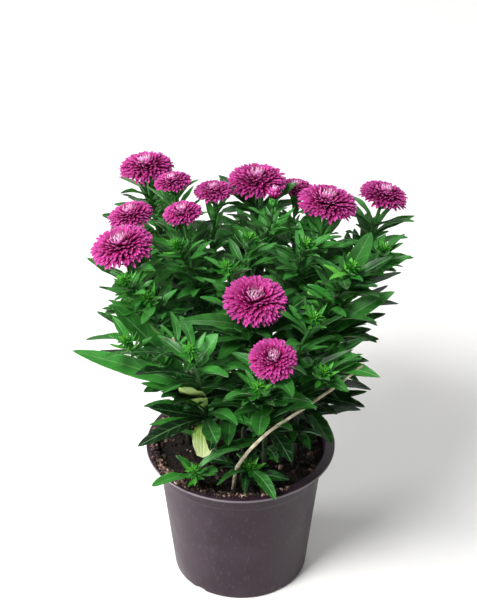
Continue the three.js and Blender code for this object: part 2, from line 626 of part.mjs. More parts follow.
// Everything stands first, then the marked leaves, then the others, one at a time round the plant.
function buildAster() {
  const aster = new THREE.Group();
  const standing = [
    ...SHOOTS.map(({ root }) => ({ root, thick: STEM.thick })),
    { root: DRY_STALK.root, thick: DRY_STALK.thick },
  ];
  aster.add(meshOf('pot', settle('pot', potSolid()), COLOURS.pot));
  aster.add(meshOf('soil', settle('soil', soilSolid(standing)), COLOURS.soil));
  for (const [index, [name, head]] of Object.entries(HEADS).entries()) {
    const { axis, foot } = footOf(head);
    const solid = layeredHead(foot, axis, headSpec(head.radius), head.radius, new Draw(1000 + index));
    aster.add(meshOf(name, settle(name, solid), COLOURS.petal));
  }
  const grown = SHOOTS.map((shoot, index) => growShoot(shoot, new Draw(2000 + index)));
  aster.add(meshOf('dry_stalk', settle('dry_stalk', dryStalkSolid()), COLOURS.straw));
  const marks = new Draw(77);
  const place = (plant, leaf) => {
    const clear = bentClear(leaf, plant.shoot.name);
    if (clear) plant.solids.push(settle(plant.shoot.name, bladeSolid(clear, 0, true)));
  };
  for (const mark of MARKED_LEAVES) {
    const plant = grown.find(({ shoot }) => shoot.name === mark.on);
    place(plant, markedLeaf(mark, plant.curves[0].curve, marks));
  }
  for (const [index, plant] of grown.entries()) {
    const draw = new Draw(3000 + index);
    plant.waiting = plant.curves.flatMap((row) => spiralLeaves(row, draw));
  }
  for (let rank = 0; grown.some(({ waiting }) => rank < waiting.length); rank += 1) {
    for (const plant of grown) {
      if (rank < plant.waiting.length) place(plant, plant.waiting[rank]);
    }
  }
  for (const { shoot, solids } of grown) {
    aster.add(meshOf(shoot.name, wasm.Manifold.union(solids), COLOURS.green));
  }
  return aster;
}

export default buildAster();
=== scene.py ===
"""The looks of a potted aster: a nursery pot of soil, leafy shoots and double magenta heads.

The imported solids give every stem, leaf and head its place. Each class below makes one
sub-assembly from its own sizes. Sizes are in millimetres and turn to metres when a mesh is made.
"""

import logging
import math
from collections.abc import Callable
from dataclasses import dataclass, field
from enum import Enum
from functools import partial

import bpy
import numpy as np
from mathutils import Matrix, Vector, noise
from mathutils.kdtree import KDTree


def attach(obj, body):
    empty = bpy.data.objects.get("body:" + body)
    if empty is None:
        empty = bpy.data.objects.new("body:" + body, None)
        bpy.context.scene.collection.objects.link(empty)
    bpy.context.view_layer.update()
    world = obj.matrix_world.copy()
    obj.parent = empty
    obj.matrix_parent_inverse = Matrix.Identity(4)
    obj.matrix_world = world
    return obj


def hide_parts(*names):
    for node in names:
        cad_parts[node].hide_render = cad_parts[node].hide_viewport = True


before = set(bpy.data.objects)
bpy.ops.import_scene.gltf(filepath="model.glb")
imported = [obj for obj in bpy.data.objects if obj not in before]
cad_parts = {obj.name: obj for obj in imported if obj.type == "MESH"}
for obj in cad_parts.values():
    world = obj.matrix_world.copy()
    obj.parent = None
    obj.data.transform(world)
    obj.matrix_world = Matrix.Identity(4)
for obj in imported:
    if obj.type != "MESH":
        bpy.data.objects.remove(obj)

Array = np.ndarray
Pair = tuple[float, float]
Triple = tuple[float, float, float]
Socket = bpy.types.NodeSocket

LOG = logging.getLogger("aster")
MM = 0.001
TURN = 2 * math.pi
GOLDEN_ANGLE = 137.5
UPWARD = np.array([0.0, 0.0, 1.0])
SHARP_ANGLE = math.radians(70)


def unit(vector: Array) -> Array:
    """A vector, or each row of several, at length one."""
    return vector / np.linalg.norm(vector, axis=-1, keepdims=True)


def direction(azimuth: float, rise: float) -> Array:
    """The direction at an azimuth and a rise above level, both in radians."""
    return np.array([math.cos(rise) * math.cos(azimuth), math.cos(rise) * math.sin(azimuth), math.sin(rise)])


def across_axis(axis: Array) -> tuple[Array, Array]:
    """Finds two directions square to an axis, or to each of several, turned alike near upright.

    Args:
        axis: The axis, or one in each row.

    Returns:
        The two directions.
    """
    east = np.array([1.0, 0.0, 0.0])
    side = unit(east - axis * axis[..., :1])
    return side, np.cross(axis, side)


def spoke(axis: Array, turned: float) -> tuple[Array, Array]:
    """Finds the direction out from an axis at an angle round it.

    Args:
        axis: The axis.
        turned: The angle, in radians.

    Returns:
        The direction outwards, and the one square to it and to the axis.
    """
    side, other = across_axis(axis)
    outward = side * math.cos(turned) + other * math.sin(turned)
    return outward, np.cross(axis, outward)


def leaning_axis(at: Triple, lean: float) -> Array:
    """Finds the axis of a head or bud, which leans out from the middle of the plant.

    Args:
        at: Its place.
        lean: How far it leans from upright, in degrees.

    Returns:
        The axis.
    """
    outward = unit(np.array([at[0], at[1], 0.0]))
    angle = math.radians(lean)
    return UPWARD * math.cos(angle) + outward * math.sin(angle)


def ring_places(out: float, sides: int) -> list[Pair]:
    """Finds places evenly spaced round the upright axis.

    Args:
        out: How far out they are.
        sides: How many there are.

    Returns:
        The two level coordinates of each.
    """
    return [(out * math.sin(a), -out * math.cos(a)) for a in TURN * np.arange(sides) / sides]


def link(name: str, data: bpy.types.ID) -> bpy.types.Object:
    """Puts a mesh, lamp or camera in the scene.

    Args:
        name: The new object's name.
        data: What it shows.

    Returns:
        The object.
    """
    made = bpy.data.objects.new(name, data)
    bpy.context.scene.collection.objects.link(made)
    return made


def linear(colour: str) -> tuple[float, float, float, float]:
    """Turns a colour into the linear values that the shaders take.

    Args:
        colour: Six hex digits of sRGB, such as "c8328c".

    Returns:
        Linear red, green and blue, and an alpha of one.
    """
    shares = (int(colour[i:i + 2], 16) / 255 for i in (0, 2, 4))
    red, green, blue = (s / 12.92 if s <= 0.04045 else ((s + 0.055) / 1.055) ** 2.4 for s in shares)
    return red, green, blue, 1.0


class Draw:
    """A repeatable series of random numbers, the same one that placed the leaves in the solids."""

    def __init__(self, seed: int) -> None:
        """Starts the series at a seed."""
        self.state = seed

    def next(self) -> float:
        """The next number, from 0 to 1."""
        self.state = (self.state * 16807) % 2147483647
        return self.state / 2147483647

    def between(self, low: float, high: float) -> float:
        """The next number, from low to high."""
        return low + (high - low) * self.next()


class Skin(Enum):
    """The surfaces that the pieces of the plant and its pot can have."""

    LEAF_FACE = "leaf face"
    LEAF_BACK = "leaf back"
    PALE_LEAF = "pale leaf"
    OLD_LEAF = "old leaf"
    STEM = "stem"
    BRACT = "bract"
    PETAL_FACE = "petal face"
    PETAL_BACK = "petal back"
    STRAW = "straw"
    POT = "pot"
    SOIL = "soil"
    FLOOR = "floor"


# How a surface is painted.

AddNode = Callable[..., bpy.types.NodeOutputs]
MIX_A, MIX_B, MIX_RESULT = 6, 7, 2
SMOOTH = {"interpolation_type": "SMOOTHSTEP"}
COLOURS = {"data_type": "RGBA"}
BLADE_MARK = "blade"
AGE_MARK = "age"


def add_node(tree: bpy.types.NodeTree, kind: str, *values: object, named: dict | None = None,
             stops: dict[float, str] | None = None, **settings: object) -> bpy.types.NodeOutputs:
    """Adds a node with its settings and links.

    Args:
        tree: The node tree that gets it.
        kind: The node's type, without the word ShaderNode.
        values: What its first inputs take: a value, a colour's hex digits, or a socket to link from.
        named: What its other inputs take, by their names or numbers.
        stops: The colours of a ramp, by their places on it.
        settings: The node's own properties.

    Returns:
        The new node's outputs.
    """
    node = tree.nodes.new(f"ShaderNode{kind}")
    for name, value in settings.items():
        setattr(node, name, value)
    for place, value in [*enumerate(values), *(named or {}).items()]:
        if isinstance(value, Socket):
            tree.links.new(value, node.inputs[place])
        else:
            node.inputs[place].default_value = linear(value) if isinstance(value, str) else value
    if stops:
        elements = node.color_ramp.elements
        while len(elements) < len(stops):
            elements.new(1.0)
        for element, (place, colour) in zip(elements, sorted(stops.items())):
            element.position = place
            element.color = linear(colour)
    return node.outputs


def read_marks(add: AddNode) -> dict[str, Socket]:
    """Reads the marks that a grown piece carries at each of its points.

    Args:
        add: Adds a node.

    Returns:
        Sockets: across the blade from -1 to 1, along it, tone and age from 0 to 1.
    """
    blade = add("Attribute", attribute_name=BLADE_MARK)["Vector"]
    parts = add("SeparateXYZ", blade)
    return {"across": parts[0], "along": parts[1], "tone": parts[2],
            "age": add("Attribute", attribute_name=AGE_MARK)["Fac"]}


def clouds(add: AddNode, size_mm: float, detail: float = 3.0, stretch: Triple = (1, 1, 1)) -> Socket:
    """Makes a cloudy pattern from 0 to 1 that is fixed to the piece.

    Args:
        add: Adds a node.
        size_mm: The width of one cloud.
        detail: How many finer patterns lie on it.
        stretch: How much longer the clouds are along each axis.

    Returns:
        The pattern's socket.
    """
    place = add("TexCoord")["Object"]
    scaled = add("Mapping", named={"Vector": place, "Scale": tuple(1 / s for s in stretch)})[0]
    return add("TexNoise", named={"Vector": scaled, "Scale": 1 / (size_mm * MM), "Detail": detail})["Fac"]


def layered(add: AddNode, colour: object, *layers: tuple[object, object]) -> Socket:
    """Lays colours over a first one.

    Args:
        add: Adds a node.
        colour: The first colour: hex digits or a socket.
        layers: How much of each covers those below it, and its colour.

    Returns:
        The last colour's socket.
    """
    for share, over in layers:
        colour = add("Mix", share, named={MIX_A: colour, MIX_B: over}, **COLOURS)[MIX_RESULT]
    return colour


@dataclass(frozen=True)
class Finish:
    """A material: its name, and the values that its shader starts from."""

    name: str
    roughness: float
    ior: float
    gloss: float = 0.5
    # How deep the relief is, and how much of it shows.
    relief_mm: float = 0.0
    relief_show: float = 1.0

    def make(self) -> bpy.types.Material:
        """Makes the material.

        Returns:
            The material with its nodes.
        """
        material = bpy.data.materials.new(self.name)
        material.use_nodes = True
        material.node_tree.nodes.clear()
        add = partial(add_node, material.node_tree)
        inputs = {"Roughness": self.roughness, "IOR": self.ior, "Specular IOR Level": self.gloss,
                  **self.dress(add)}
        if "Height" in inputs:
            inputs["Normal"] = add("Bump", named={"Strength": self.relief_show,
                                                  "Distance": self.relief_mm * MM,
                                                  "Height": inputs.pop("Height")})[0]
        shader = add("BsdfPrincipled", named=inputs)
        add("OutputMaterial", shader["BSDF"])
        return material

    def dress(self, add: AddNode) -> dict[str, object]:
        """Makes the colour and the height of the relief, which each finish does in its own way.

        Args:
            add: Adds a node.

        Returns:
            The shader's inputs by name, and the relief under Height.
        """
        raise NotImplementedError


@dataclass(frozen=True)
class LeafCuticle(Finish):
    """A leaf's waxy skin: gives the eye satin green with a pale midrib and faint slanting veins."""

    gloss: float = 0.45
    deep: str = "020c04"
    middle: str = "092b0e"
    fresh: str = "388430"
    rib: str = "78b06a"
    # The pairs of side veins on a blade, and how far they slant towards its tip.
    veins: float = 6.5
    slant: float = 0.9
    vein_show: float = 0.2
    rib_show: float = 0.42
    # In shares of half the blade's width: the midrib, and where the side veins fade.
    rib_edge: float = 0.13
    vein_end: Pair = (0.6, 0.95)
    vein_edge: float = 0.08
    # An old leaf has veins along it instead, this many to half its width, and pales to its tip.
    lengthwise: float = 0.0
    lengthwise_edge: float = 0.2
    fading: float = 0.0
    cloud_mm: float = 7.0
    cloud_share: float = 0.5
    tone_share: float = 0.3
    tones: Pair = (0.25, 1.3)
    # The real skin's cells are under 0.1 mm wide; they are drawn this coarse so that they show.
    cell_mm: float = 0.7
    cell_share: float = 0.4
    relief_mm: float = 0.25
    relief_show: float = 0.6
    glow: float = 0.12
    glow_radii: Triple = (0.4, 1.0, 0.15)
    glow_mm: float = 0.8

    def vein_lines(self, add: AddNode, marks: dict[str, Socket]) -> tuple[Socket, Socket]:
        """Draws the midrib and the side veins.

        Args:
            add: Adds a node.
            marks: The marks of the blade.

        Returns:
            Sockets for the midrib and for the side veins, 1 on a line and 0 off it.
        """
        aside = add("Math", marks["across"], operation="ABSOLUTE")[0]
        midrib = add("MapRange", aside, 0.0, self.rib_edge, 1.0, 0.0, **SMOOTH)[0]
        if self.lengthwise:
            rows = add("Math", aside, self.lengthwise, operation="MULTIPLY")[0]
            edge, fade = self.lengthwise_edge, 1.0
        else:
            leaning = add("Math", aside, self.slant, operation="MULTIPLY")[0]
            level = add("Math", marks["along"], self.veins, operation="MULTIPLY")[0]
            rows = add("Math", level, leaning, operation="SUBTRACT")[0]
            edge, fade = self.vein_edge, add("MapRange", aside, *self.vein_end, 1.0, 0.0, **SMOOTH)[0]
        off_line = add("Math", rows, 0.5, operation="PINGPONG")[0]
        side = add("MapRange", off_line, 0.0, edge, 1.0, 0.0, **SMOOTH)[0]
        return midrib, add("Math", side, fade, operation="MULTIPLY")[0]

    def dress(self, add: AddNode) -> dict[str, object]:
        """Colours the skin from deep to fresh green, with its veins and its fine cells.

        Args:
            add: Adds a node.

        Returns:
            The shader's inputs by name.
        """
        marks = read_marks(add)
        midrib, side = self.vein_lines(add, marks)
        tone = marks["age"]
        for value, share in ((clouds(add, self.cloud_mm), self.cloud_share),
                             (marks["along"], self.fading), (marks["tone"], self.tone_share)):
            part = add("Math", value, share, operation="MULTIPLY")[0]
            tone = add("Math", tone, part, operation="ADD")[0]
        ranged = add("MapRange", tone, *self.tones, **SMOOTH)[0]
        colour = add("ValToRGB", ranged, stops={0.0: self.deep, 0.5: self.middle, 1.0: self.fresh})[0]
        for lines, show in ((side, self.vein_show), (midrib, self.rib_show)):
            colour = layered(add, colour, (add("Math", lines, show, operation="MULTIPLY")[0], self.rib))
        cells = add("Math", clouds(add, self.cell_mm, 2.0), self.cell_share, operation="MULTIPLY")[0]
        lines = add("Math", midrib, side, operation="MAXIMUM")[0]
        height = add("Math", cells, lines, operation="SUBTRACT")[0]
        return {"Base Color": colour, "Height": height, "Subsurface Weight": self.glow,
                "Subsurface Radius": self.glow_radii, "Subsurface Scale": self.glow_mm * MM}


@dataclass(frozen=True)
class StemSkin(Finish):
    """A ribbed herbaceous stem: gives the eye dull green with fine ribs, flushed red-brown low down and
    darkened there as painted shade.
    """

    # From the foot up: the low colour is the stem's own red-brown flush, darkened as painted shade.
    low: str = "241c15"
    middle: str = "1e3818"
    high: str = "38702d"
    # Ribs round half of the stem.
    ribs: float = 9.0
    mottle_mm: float = 4.0
    mottle_share: float = 0.5
    heights: Pair = (0.15, 1.1)
    relief_mm: float = 0.12
    relief_show: float = 0.7

    def dress(self, add: AddNode) -> dict[str, object]:
        """Colours the skin by its height on the stem, darkest at the foot as painted shade, and raises its
        ribs.

        Args:
            add: Adds a node.

        Returns:
            The shader's inputs by name.
        """
        marks = read_marks(add)
        mottle = add("Math", clouds(add, self.mottle_mm), self.mottle_share, operation="MULTIPLY")[0]
        height = add("Math", marks["age"], mottle, operation="ADD")[0]
        ranged = add("MapRange", height, *self.heights, **SMOOTH)[0]
        colour = add("ValToRGB", ranged, stops={0.0: self.low, 0.35: self.middle, 1.0: self.high})[0]
        round_it = add("Math", marks["across"], self.ribs * math.pi, operation="MULTIPLY")[0]
        ribs = add("Math", round_it, operation="SINE")[0]
        return {"Base Color": colour, "Height": ribs}


@dataclass(frozen=True)
class PetalVelvet(Finish):
    """A ray petal's velvety skin: gives the eye magenta, deep at the foot and pale at the tip, partly its own
    colour and partly painted shade and painted highlight, with a highlight painted along its edges.
    """

    gloss: float = 0.15
    # From the foot to the tip: the petal's own deepening to its foot, made stronger as painted shade between
    # the petals and painted highlight at the tips.
    foot: str = "3a011a"
    middle: str = "980a55"
    tip: str = "da56b0"
    heart: str = "fbc8e6"
    stops: Triple = (0.26, 0.64, 0.98)
    wobble_mm: float = 2.5
    # The share across the petal where the highlight painted along its edges begins and is full, and how much
    # of it shows.
    painted_edge_highlight: Pair = (0.6, 1.0)
    painted_edge_highlight_show: float = 0.3
    # Petals whose age is past the first of these pale towards the heart's colour.
    inner: Pair = (0.72, 1.0)
    shades: Pair = (0.78, 1.12)
    # A real petal has some ten fine ridges; these three show at this size.
    ridges: float = 3.0
    relief_mm: float = 0.15
    relief_show: float = 0.5
    glow: float = 0.25
    glow_radii: Triple = (1.0, 0.25, 0.6)
    glow_mm: float = 1.2

    def dress(self, add: AddNode) -> dict[str, object]:
        """Colours the petal along its length, deepened as painted shade at the foot and lightened as painted
        highlight at the tip, paints a highlight along its edges and raises its ridges.

        Args:
            add: Adds a node.

        Returns:
            The shader's inputs by name.
        """
        marks = read_marks(add)
        aside = add("Math", marks["across"], operation="ABSOLUTE")[0]
        wobble = add("MapRange", clouds(add, self.wobble_mm), 0.2, 0.8, -0.1, 0.06, **SMOOTH)[0]
        reach = add("Math", marks["along"], wobble, operation="ADD")[0]
        colour = add("ValToRGB", reach, stops=dict(zip(self.stops, (self.foot, self.middle, self.tip))))[0]
        # A highlight painted along the petal's edges, in the tip's colour.
        edge = add("MapRange", aside, *self.painted_edge_highlight, **SMOOTH)[0]
        painted_edge_highlight = add("Math", edge, self.painted_edge_highlight_show, operation="MULTIPLY")[0]
        inner = add("MapRange", marks["age"], *self.inner, **SMOOTH)[0]
        heart = add("Math", inner, marks["along"], operation="MULTIPLY")[0]
        colour = layered(add, colour, (painted_edge_highlight, self.tip), (heart, self.heart))
        shade = add("MapRange", marks["tone"], 0.0, 1.0, *self.shades, **SMOOTH)[0]
        grey = add("CombineColor", shade, shade, shade)[0]
        colour = add("Mix", 1.0, named={MIX_A: colour, MIX_B: grey}, blend_type="MULTIPLY",
                     **COLOURS)[MIX_RESULT]
        round_it = add("Math", marks["across"], self.ridges * math.pi, operation="MULTIPLY")[0]
        ridges = add("Math", round_it, operation="SINE")[0]
        return {"Base Color": colour, "Height": ridges, "Subsurface Weight": self.glow,
                "Subsurface Radius": self.glow_radii, "Subsurface Scale": self.glow_mm * MM}


@dataclass(frozen=True)
class DryStraw(Finish):
    """A weathered dry stalk: gives the eye dull straw with darker streaks along it."""

    pale: str = "cfc5ae"
    dark: str = "8d8268"
    # Streaks round half of the stalk. Real fibres are finer and wouldn't show.
    streaks: float = 5.0
    streak_share: float = 0.15
    mottle_mm: float = 5.0
    relief_mm: float = 0.15
    relief_show: float = 0.6

    def dress(self, add: AddNode) -> dict[str, object]:
        """Streaks the straw along the stalk.

        Args:
            add: Adds a node.

        Returns:
            The shader's inputs by name.
        """
        marks = read_marks(add)
        round_it = add("Math", marks["across"], self.streaks * math.pi, operation="MULTIPLY")[0]
        streaks = add("Math", round_it, operation="SINE")[0]
        faint = add("Math", streaks, self.streak_share, operation="MULTIPLY")[0]
        mottle = add("Math", clouds(add, self.mottle_mm, 4.0), faint, operation="ADD")[0]
        share = add("MapRange", mottle, 0.3, 0.75, **SMOOTH)[0]
        return {"Base Color": layered(add, self.dark, (share, self.pale)), "Height": streaks}


@dataclass(frozen=True)
class MouldedPolypropylene(Finish):
    """Moulded polypropylene: gives the eye satin grey-mauve with faint scuffs and dust, and a pale line
    painted along the rim's outer edge as a highlight.
    """

    gloss: float = 0.26
    body: str = "281823"
    worn: str = "4a3d46"
    # The colour of the highlight painted along the rim's outer edge.
    edge: str = "a39ca1"
    dust: str = "46382f"
    speck: str = "120c0a"
    cloud_mm: float = 28.0
    # Scuffs run up and down, three times as long as wide.
    scuff_mm: float = 1.5
    scuff_stretch: Triple = (1, 1, 3)
    patch_mm: float = 14.0
    # Dust and the plastic's grain are finer than this, which is as fine as shows.
    dust_mm: float = 0.9
    dust_show: float = 0.75
    grain_mm: float = 0.8
    speck_every_mm: float = 16.0
    speck_edge: Pair = (0.035, 0.06)
    # How far out the highlight painted on the rim's outer edge begins and is full.
    rim_highlight_mm: Pair = (64.45, 64.85)
    rim_highlight_show: float = 0.35
    rougher: Pair = (-0.07, 0.12)
    relief_mm: float = 0.1
    relief_show: float = 0.35

    def dress(self, add: AddNode) -> dict[str, object]:
        """Clouds the plastic, scuffs it up and down, dusts and specks it, and paints a highlight along the
        rim's outer edge.

        Args:
            add: Adds a node.

        Returns:
            The shader's inputs by name.
        """
        cloudy = clouds(add, self.cloud_mm, 4.0)
        scuffs = clouds(add, self.scuff_mm, 5.0, self.scuff_stretch)
        patches = add("MapRange", clouds(add, self.patch_mm, 5.0), 0.55, 0.75, **SMOOTH)[0]
        grit = add("MapRange", clouds(add, self.dust_mm, 2.0), 0.6, 0.75, **SMOOTH)[0]
        dusty = add("Math", patches, grit, operation="MULTIPLY")[0]
        place = add("TexCoord")["Object"]
        cells = add("TexVoronoi", named={"Vector": place, "Scale": 1 / (self.speck_every_mm * MM)})
        specks = add("MapRange", cells["Distance"], *self.speck_edge, 1.0, 0.0, **SMOOTH)[0]
        colour = layered(
            add, self.body,
            (add("MapRange", cloudy, 0.35, 0.75, 0.0, 0.3, **SMOOTH)[0], self.worn),
            (add("MapRange", scuffs, 0.54, 0.74, 0.0, 0.5, **SMOOTH)[0], self.worn),
            (add("Math", dusty, self.dust_show, operation="MULTIPLY")[0], self.dust),
            (specks, self.speck),
            # Last, a highlight painted along the rim's outer edge.
            (self.painted_rim_highlight(add, place), self.edge),
        )
        low, high = (self.roughness + more for more in self.rougher)
        rough = add("MapRange", cloudy, 0.3, 0.75, low, high, **SMOOTH)[0]
        height = add("Math", clouds(add, self.grain_mm), specks, operation="ADD")[0]
        return {"Base Color": colour, "Roughness": rough, "Height": height}

    def painted_rim_highlight(self, add: AddNode, place: Socket) -> Socket:
        """Finds the rim's outermost edge, where a pale line is painted as a highlight.

        Args:
            add: Adds a node.
            place: The place on the pot.

        Returns:
            A socket, above 0 on the edge alone.
        """
        parts = add("SeparateXYZ", place)
        flat = add("CombineXYZ", parts[0], parts[1])[0]
        out = add("VectorMath", flat, operation="LENGTH")["Value"]
        start, end = (mm * MM for mm in self.rim_highlight_mm)
        return add("MapRange", out, start, end, 0.0, self.rim_highlight_show, **SMOOTH)[0]


@dataclass(frozen=True)
class PottingSoil(Finish):
    """Damp peat-based soil: gives the eye matt black-brown with fibres and paler grains."""

    wet: str = "0b0807"
    dry: str = "2a1d17"
    crumb: str = "84675b"
    fleck: str = "8a6e61"
    bark: str = "a78f7e"
    # Damp patches, pale grains and the roughness of the soil, all near their real size.
    mottle_mm: float = 5.0
    fleck_mm: float = 1.0
    fleck_show: float = 0.5
    rough_mm: float = 1.4
    relief_mm: float = 0.8

    def dress(self, add: AddNode) -> dict[str, object]:
        """Mottles the soil, with a tone for each crumb where it is made of crumbs.

        Args:
            add: Adds a node.

        Returns:
            The shader's inputs by name.
        """
        marks = read_marks(add)
        half_tone = add("Math", marks["tone"], 0.5, operation="MULTIPLY")[0]
        mottle = add("Math", clouds(add, self.mottle_mm, 6.0), half_tone, operation="ADD")[0]
        flecks = add("MapRange", clouds(add, self.fleck_mm), 0.62, 0.72, **SMOOTH)[0]
        colour = layered(
            add, self.wet,
            (add("MapRange", mottle, 0.4, 1.2, **SMOOTH)[0], self.dry),
            (add("MapRange", marks["tone"], 0.8, 1.6, **SMOOTH)[0], self.crumb),
            (add("Math", flecks, self.fleck_show, operation="MULTIPLY")[0], self.fleck),
            (add("MapRange", marks["age"], 0.5, 1.0, **SMOOTH)[0], self.bark),
        )
        return {"Base Color": colour, "Height": clouds(add, self.rough_mm, 6.0)}


@dataclass(frozen=True)
class PaintedFloor(Finish):
    """A matt painted floor: gives the eye a plain pale ground."""

    body: str = "f8f7f5"
    uneven: str = "efeeeb"
    patch_mm: float = 300.0
    patch_show: float = 0.15

    def dress(self, add: AddNode) -> dict[str, object]:
        """Colours the floor with the faintest unevenness.

        Args:
            add: Adds a node.

        Returns:
            The shader's inputs by name.
        """
        patches = add("MapRange", clouds(add, self.patch_mm), 0.2, 0.8, **SMOOTH)[0]
        share = add("Math", patches, self.patch_show, operation="MULTIPLY")[0]
        return {"Base Color": layered(add, self.body, (share, self.uneven))}


FINISHES: dict[Skin, Finish] = {
    # The leaf's upper side, with a wax bloom: satin, and the darkest green.
    Skin.LEAF_FACE: LeafCuticle("waxy_leaf_face", 0.38, 1.45),
    # Its underside, without the wax: matt and greyer, with veins that show more.
    Skin.LEAF_BACK: LeafCuticle("matt_leaf_underside", 0.6, 1.45, deep="18351f", middle="2d5431",
                                fresh="588350", rib="86ab76", vein_show=0.5),
    # A leaf that lost its green in the shade: pale and soft.
    Skin.PALE_LEAF: LeafCuticle("pale_yellow_green_leaf", 0.5, 1.45, deep="708e4a", middle="8fa860",
                                fresh="a9ba78", rib="79944f", vein_show=0.5),
    # A leaf that withers from its tip: streaked along, from green to straw.
    Skin.OLD_LEAF: LeafCuticle("withering_leaf", 0.55, 1.45, deep="3d7a24", middle="7c9c40",
                               fresh="b2b68c", rib="adc272", vein_show=0.7, lengthwise=3.0, fading=0.95),
    Skin.STEM: StemSkin("ribbed_green_stem", 0.55, 1.45),
    # Young tissue, thin and unveined: the brightest green.
    Skin.BRACT: LeafCuticle("fresh_green_bract", 0.45, 1.45, deep="0d3c12", middle="237a1e",
                            fresh="5fb53c", rib="7cc05c", vein_show=0.0),
    Skin.PETAL_FACE: PetalVelvet("velvety_petal_face", 0.55, 1.4),
    # The petal's back: duller and a little paler.
    Skin.PETAL_BACK: PetalVelvet("velvety_petal_back", 0.6, 1.4, foot="4a0428", middle="9c1a68",
                                 tip="dc6ab6"),
    Skin.STRAW: DryStraw("weathered_straw", 0.8, 1.45),
    Skin.POT: MouldedPolypropylene("moulded_polypropylene", 0.42, 1.49),
    Skin.SOIL: PottingSoil("damp_potting_soil", 0.95, 1.4),
    Skin.FLOOR: PaintedFloor("matt_painted_floor", 0.9, 1.5),
}


class Palette:
    """The materials, each made once, when a piece first needs it."""

    def __init__(self) -> None:
        """Starts with no material made."""
        self.made: dict[Skin, bpy.types.Material] = {}

    def __getitem__(self, skin: Skin) -> bpy.types.Material:
        """Gives the material of a skin.

        Args:
            skin: The skin.

        Returns:
            Its material.
        """
        if skin not in self.made:
            self.made[skin] = FINISHES[skin].make()
        return self.made[skin]


# How a mesh is made.


@dataclass
class Paint:
    """What a grown surface carries to its material: its tone, its age and its two skins."""

    face: Skin
    back: Skin
    tone: float = 0.5
    age: float = 0.5


class MeshDraft:
    """Collects closed surfaces in millimetres, and makes one piece of them."""

    def __init__(self, name: str, record_slot: str, palette: Palette) -> None:
        """Starts an empty piece.

        Args:
            name: Its name.
            record_slot: The record's slot for its finish; not used.
            palette: The materials.
        """
        self.name = name
        self.record_slot = record_slot
        self.palette = palette
        self.skins: list[Skin] = []
        self.points: list[Array] = []
        self.marks: list[Array] = []
        self.faces: list[list[int]] = []
        self.face_skins: list[int] = []
        self.count = 0

    def skin_number(self, skin: Skin) -> int:
        """Finds the number of a skin on this piece, and gives it one when it has none.

        Args:
            skin: The skin.

        Returns:
            Its number.
        """
        if skin not in self.skins:
            self.skins.append(skin)
        return self.skins.index(skin)

    def add(self, points: Array, marks: Array, faces: list[list[int]], skins: list[int]) -> None:
        """Adds a closed surface, with its faces turned outwards.

        Args:
            points: Its points.
            marks: Across, along, tone and age at each point.
            faces: Its faces, as numbers of its own points.
            skins: The number of each face's skin.
        """
        corners = np.array([face[:3] for face in faces] + [[f[0], f[2], f[3]] for f in faces if len(f) == 4])
        one, two, three = (points[corners[:, k]] for k in range(3))
        volume = np.einsum("ij,ij->", one, np.cross(two, three))
        turned = faces if volume > 0 else [face[::-1] for face in faces]
        self.points.append(points)
        self.marks.append(marks)
        self.faces.extend([[n + self.count for n in face] for face in turned])
        self.face_skins.extend(skins)
        self.count += len(points)

    def loft(self, rings: Array, first: Array, last: Array, across: Array,
             backs: Array, paint: Paint, along: Array | None = None) -> None:
        """Adds a surface through rings of points, closed by a point at each end.

        Args:
            rings: The points, by ring and by place on the ring.
            first: The point before the first ring.
            last: The point after the last ring.
            across: The mark across the surface at each place on a ring.
            backs: For each place on a ring, whether the face from it to the next is on the back.
            paint: The tone, age and skins of the surface.
            along: The mark along the surface at each ring, or none for even steps.
        """
        stations, places = rings.shape[:2]
        if along is None:
            along = np.linspace(0, 1, stations)
        points = np.concatenate([first[None], rings.reshape(-1, 3), last[None]])
        marks = np.empty((len(points), 4))
        marks[:, 2:] = paint.tone, paint.age
        marks[0, :2] = 0, 0
        marks[-1, :2] = 0, 1
        marks[1:-1, 0] = np.tile(across, stations)
        marks[1:-1, 1] = np.repeat(along, places)
        end = len(points) - 1
        skins = [self.skin_number(paint.back if back else paint.face) for back in backs]
        faces, face_skins = [], []
        for i in range(places):
            j = (i + 1) % places
            faces.append([0, 1 + j, 1 + i])
            faces.extend([1 + r * places + i, 1 + r * places + j, 1 + (r + 1) * places + j,
                          1 + (r + 1) * places + i] for r in range(stations - 1))
            faces.append([end, end - places + i, end - places + j])
            face_skins.extend([skins[i]] * (stations + 1))
        self.add(points, marks, faces, face_skins)

    def piece(self) -> bpy.types.Object:
        """Makes the piece, smooth but for its sharp edges, on the plant's body.

        Returns:
            The piece.
        """
        mesh = bpy.data.meshes.new(self.name)
        mesh.from_pydata(np.concatenate(self.points) * MM, [], self.faces)
        marks = np.concatenate(self.marks)
        blade = mesh.attributes.new(BLADE_MARK, "FLOAT_VECTOR", "POINT")
        blade.data.foreach_set("vector", np.ascontiguousarray(marks[:, :3], np.float32).ravel())
        age = mesh.attributes.new(AGE_MARK, "FLOAT", "POINT")
        age.data.foreach_set("value", np.ascontiguousarray(marks[:, 3], np.float32))
        for skin in self.skins:
            mesh.materials.append(self.palette[skin])
        mesh.polygons.foreach_set("material_index", self.face_skins)
        mesh.shade_smooth()
        mesh.set_sharp_from_angle(angle=SHARP_ANGLE)
        mesh.update()
        piece = link(self.name, mesh)
        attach(piece, "root")
        LOG.info("%s: %d faces", self.name, len(self.faces))
        return piece


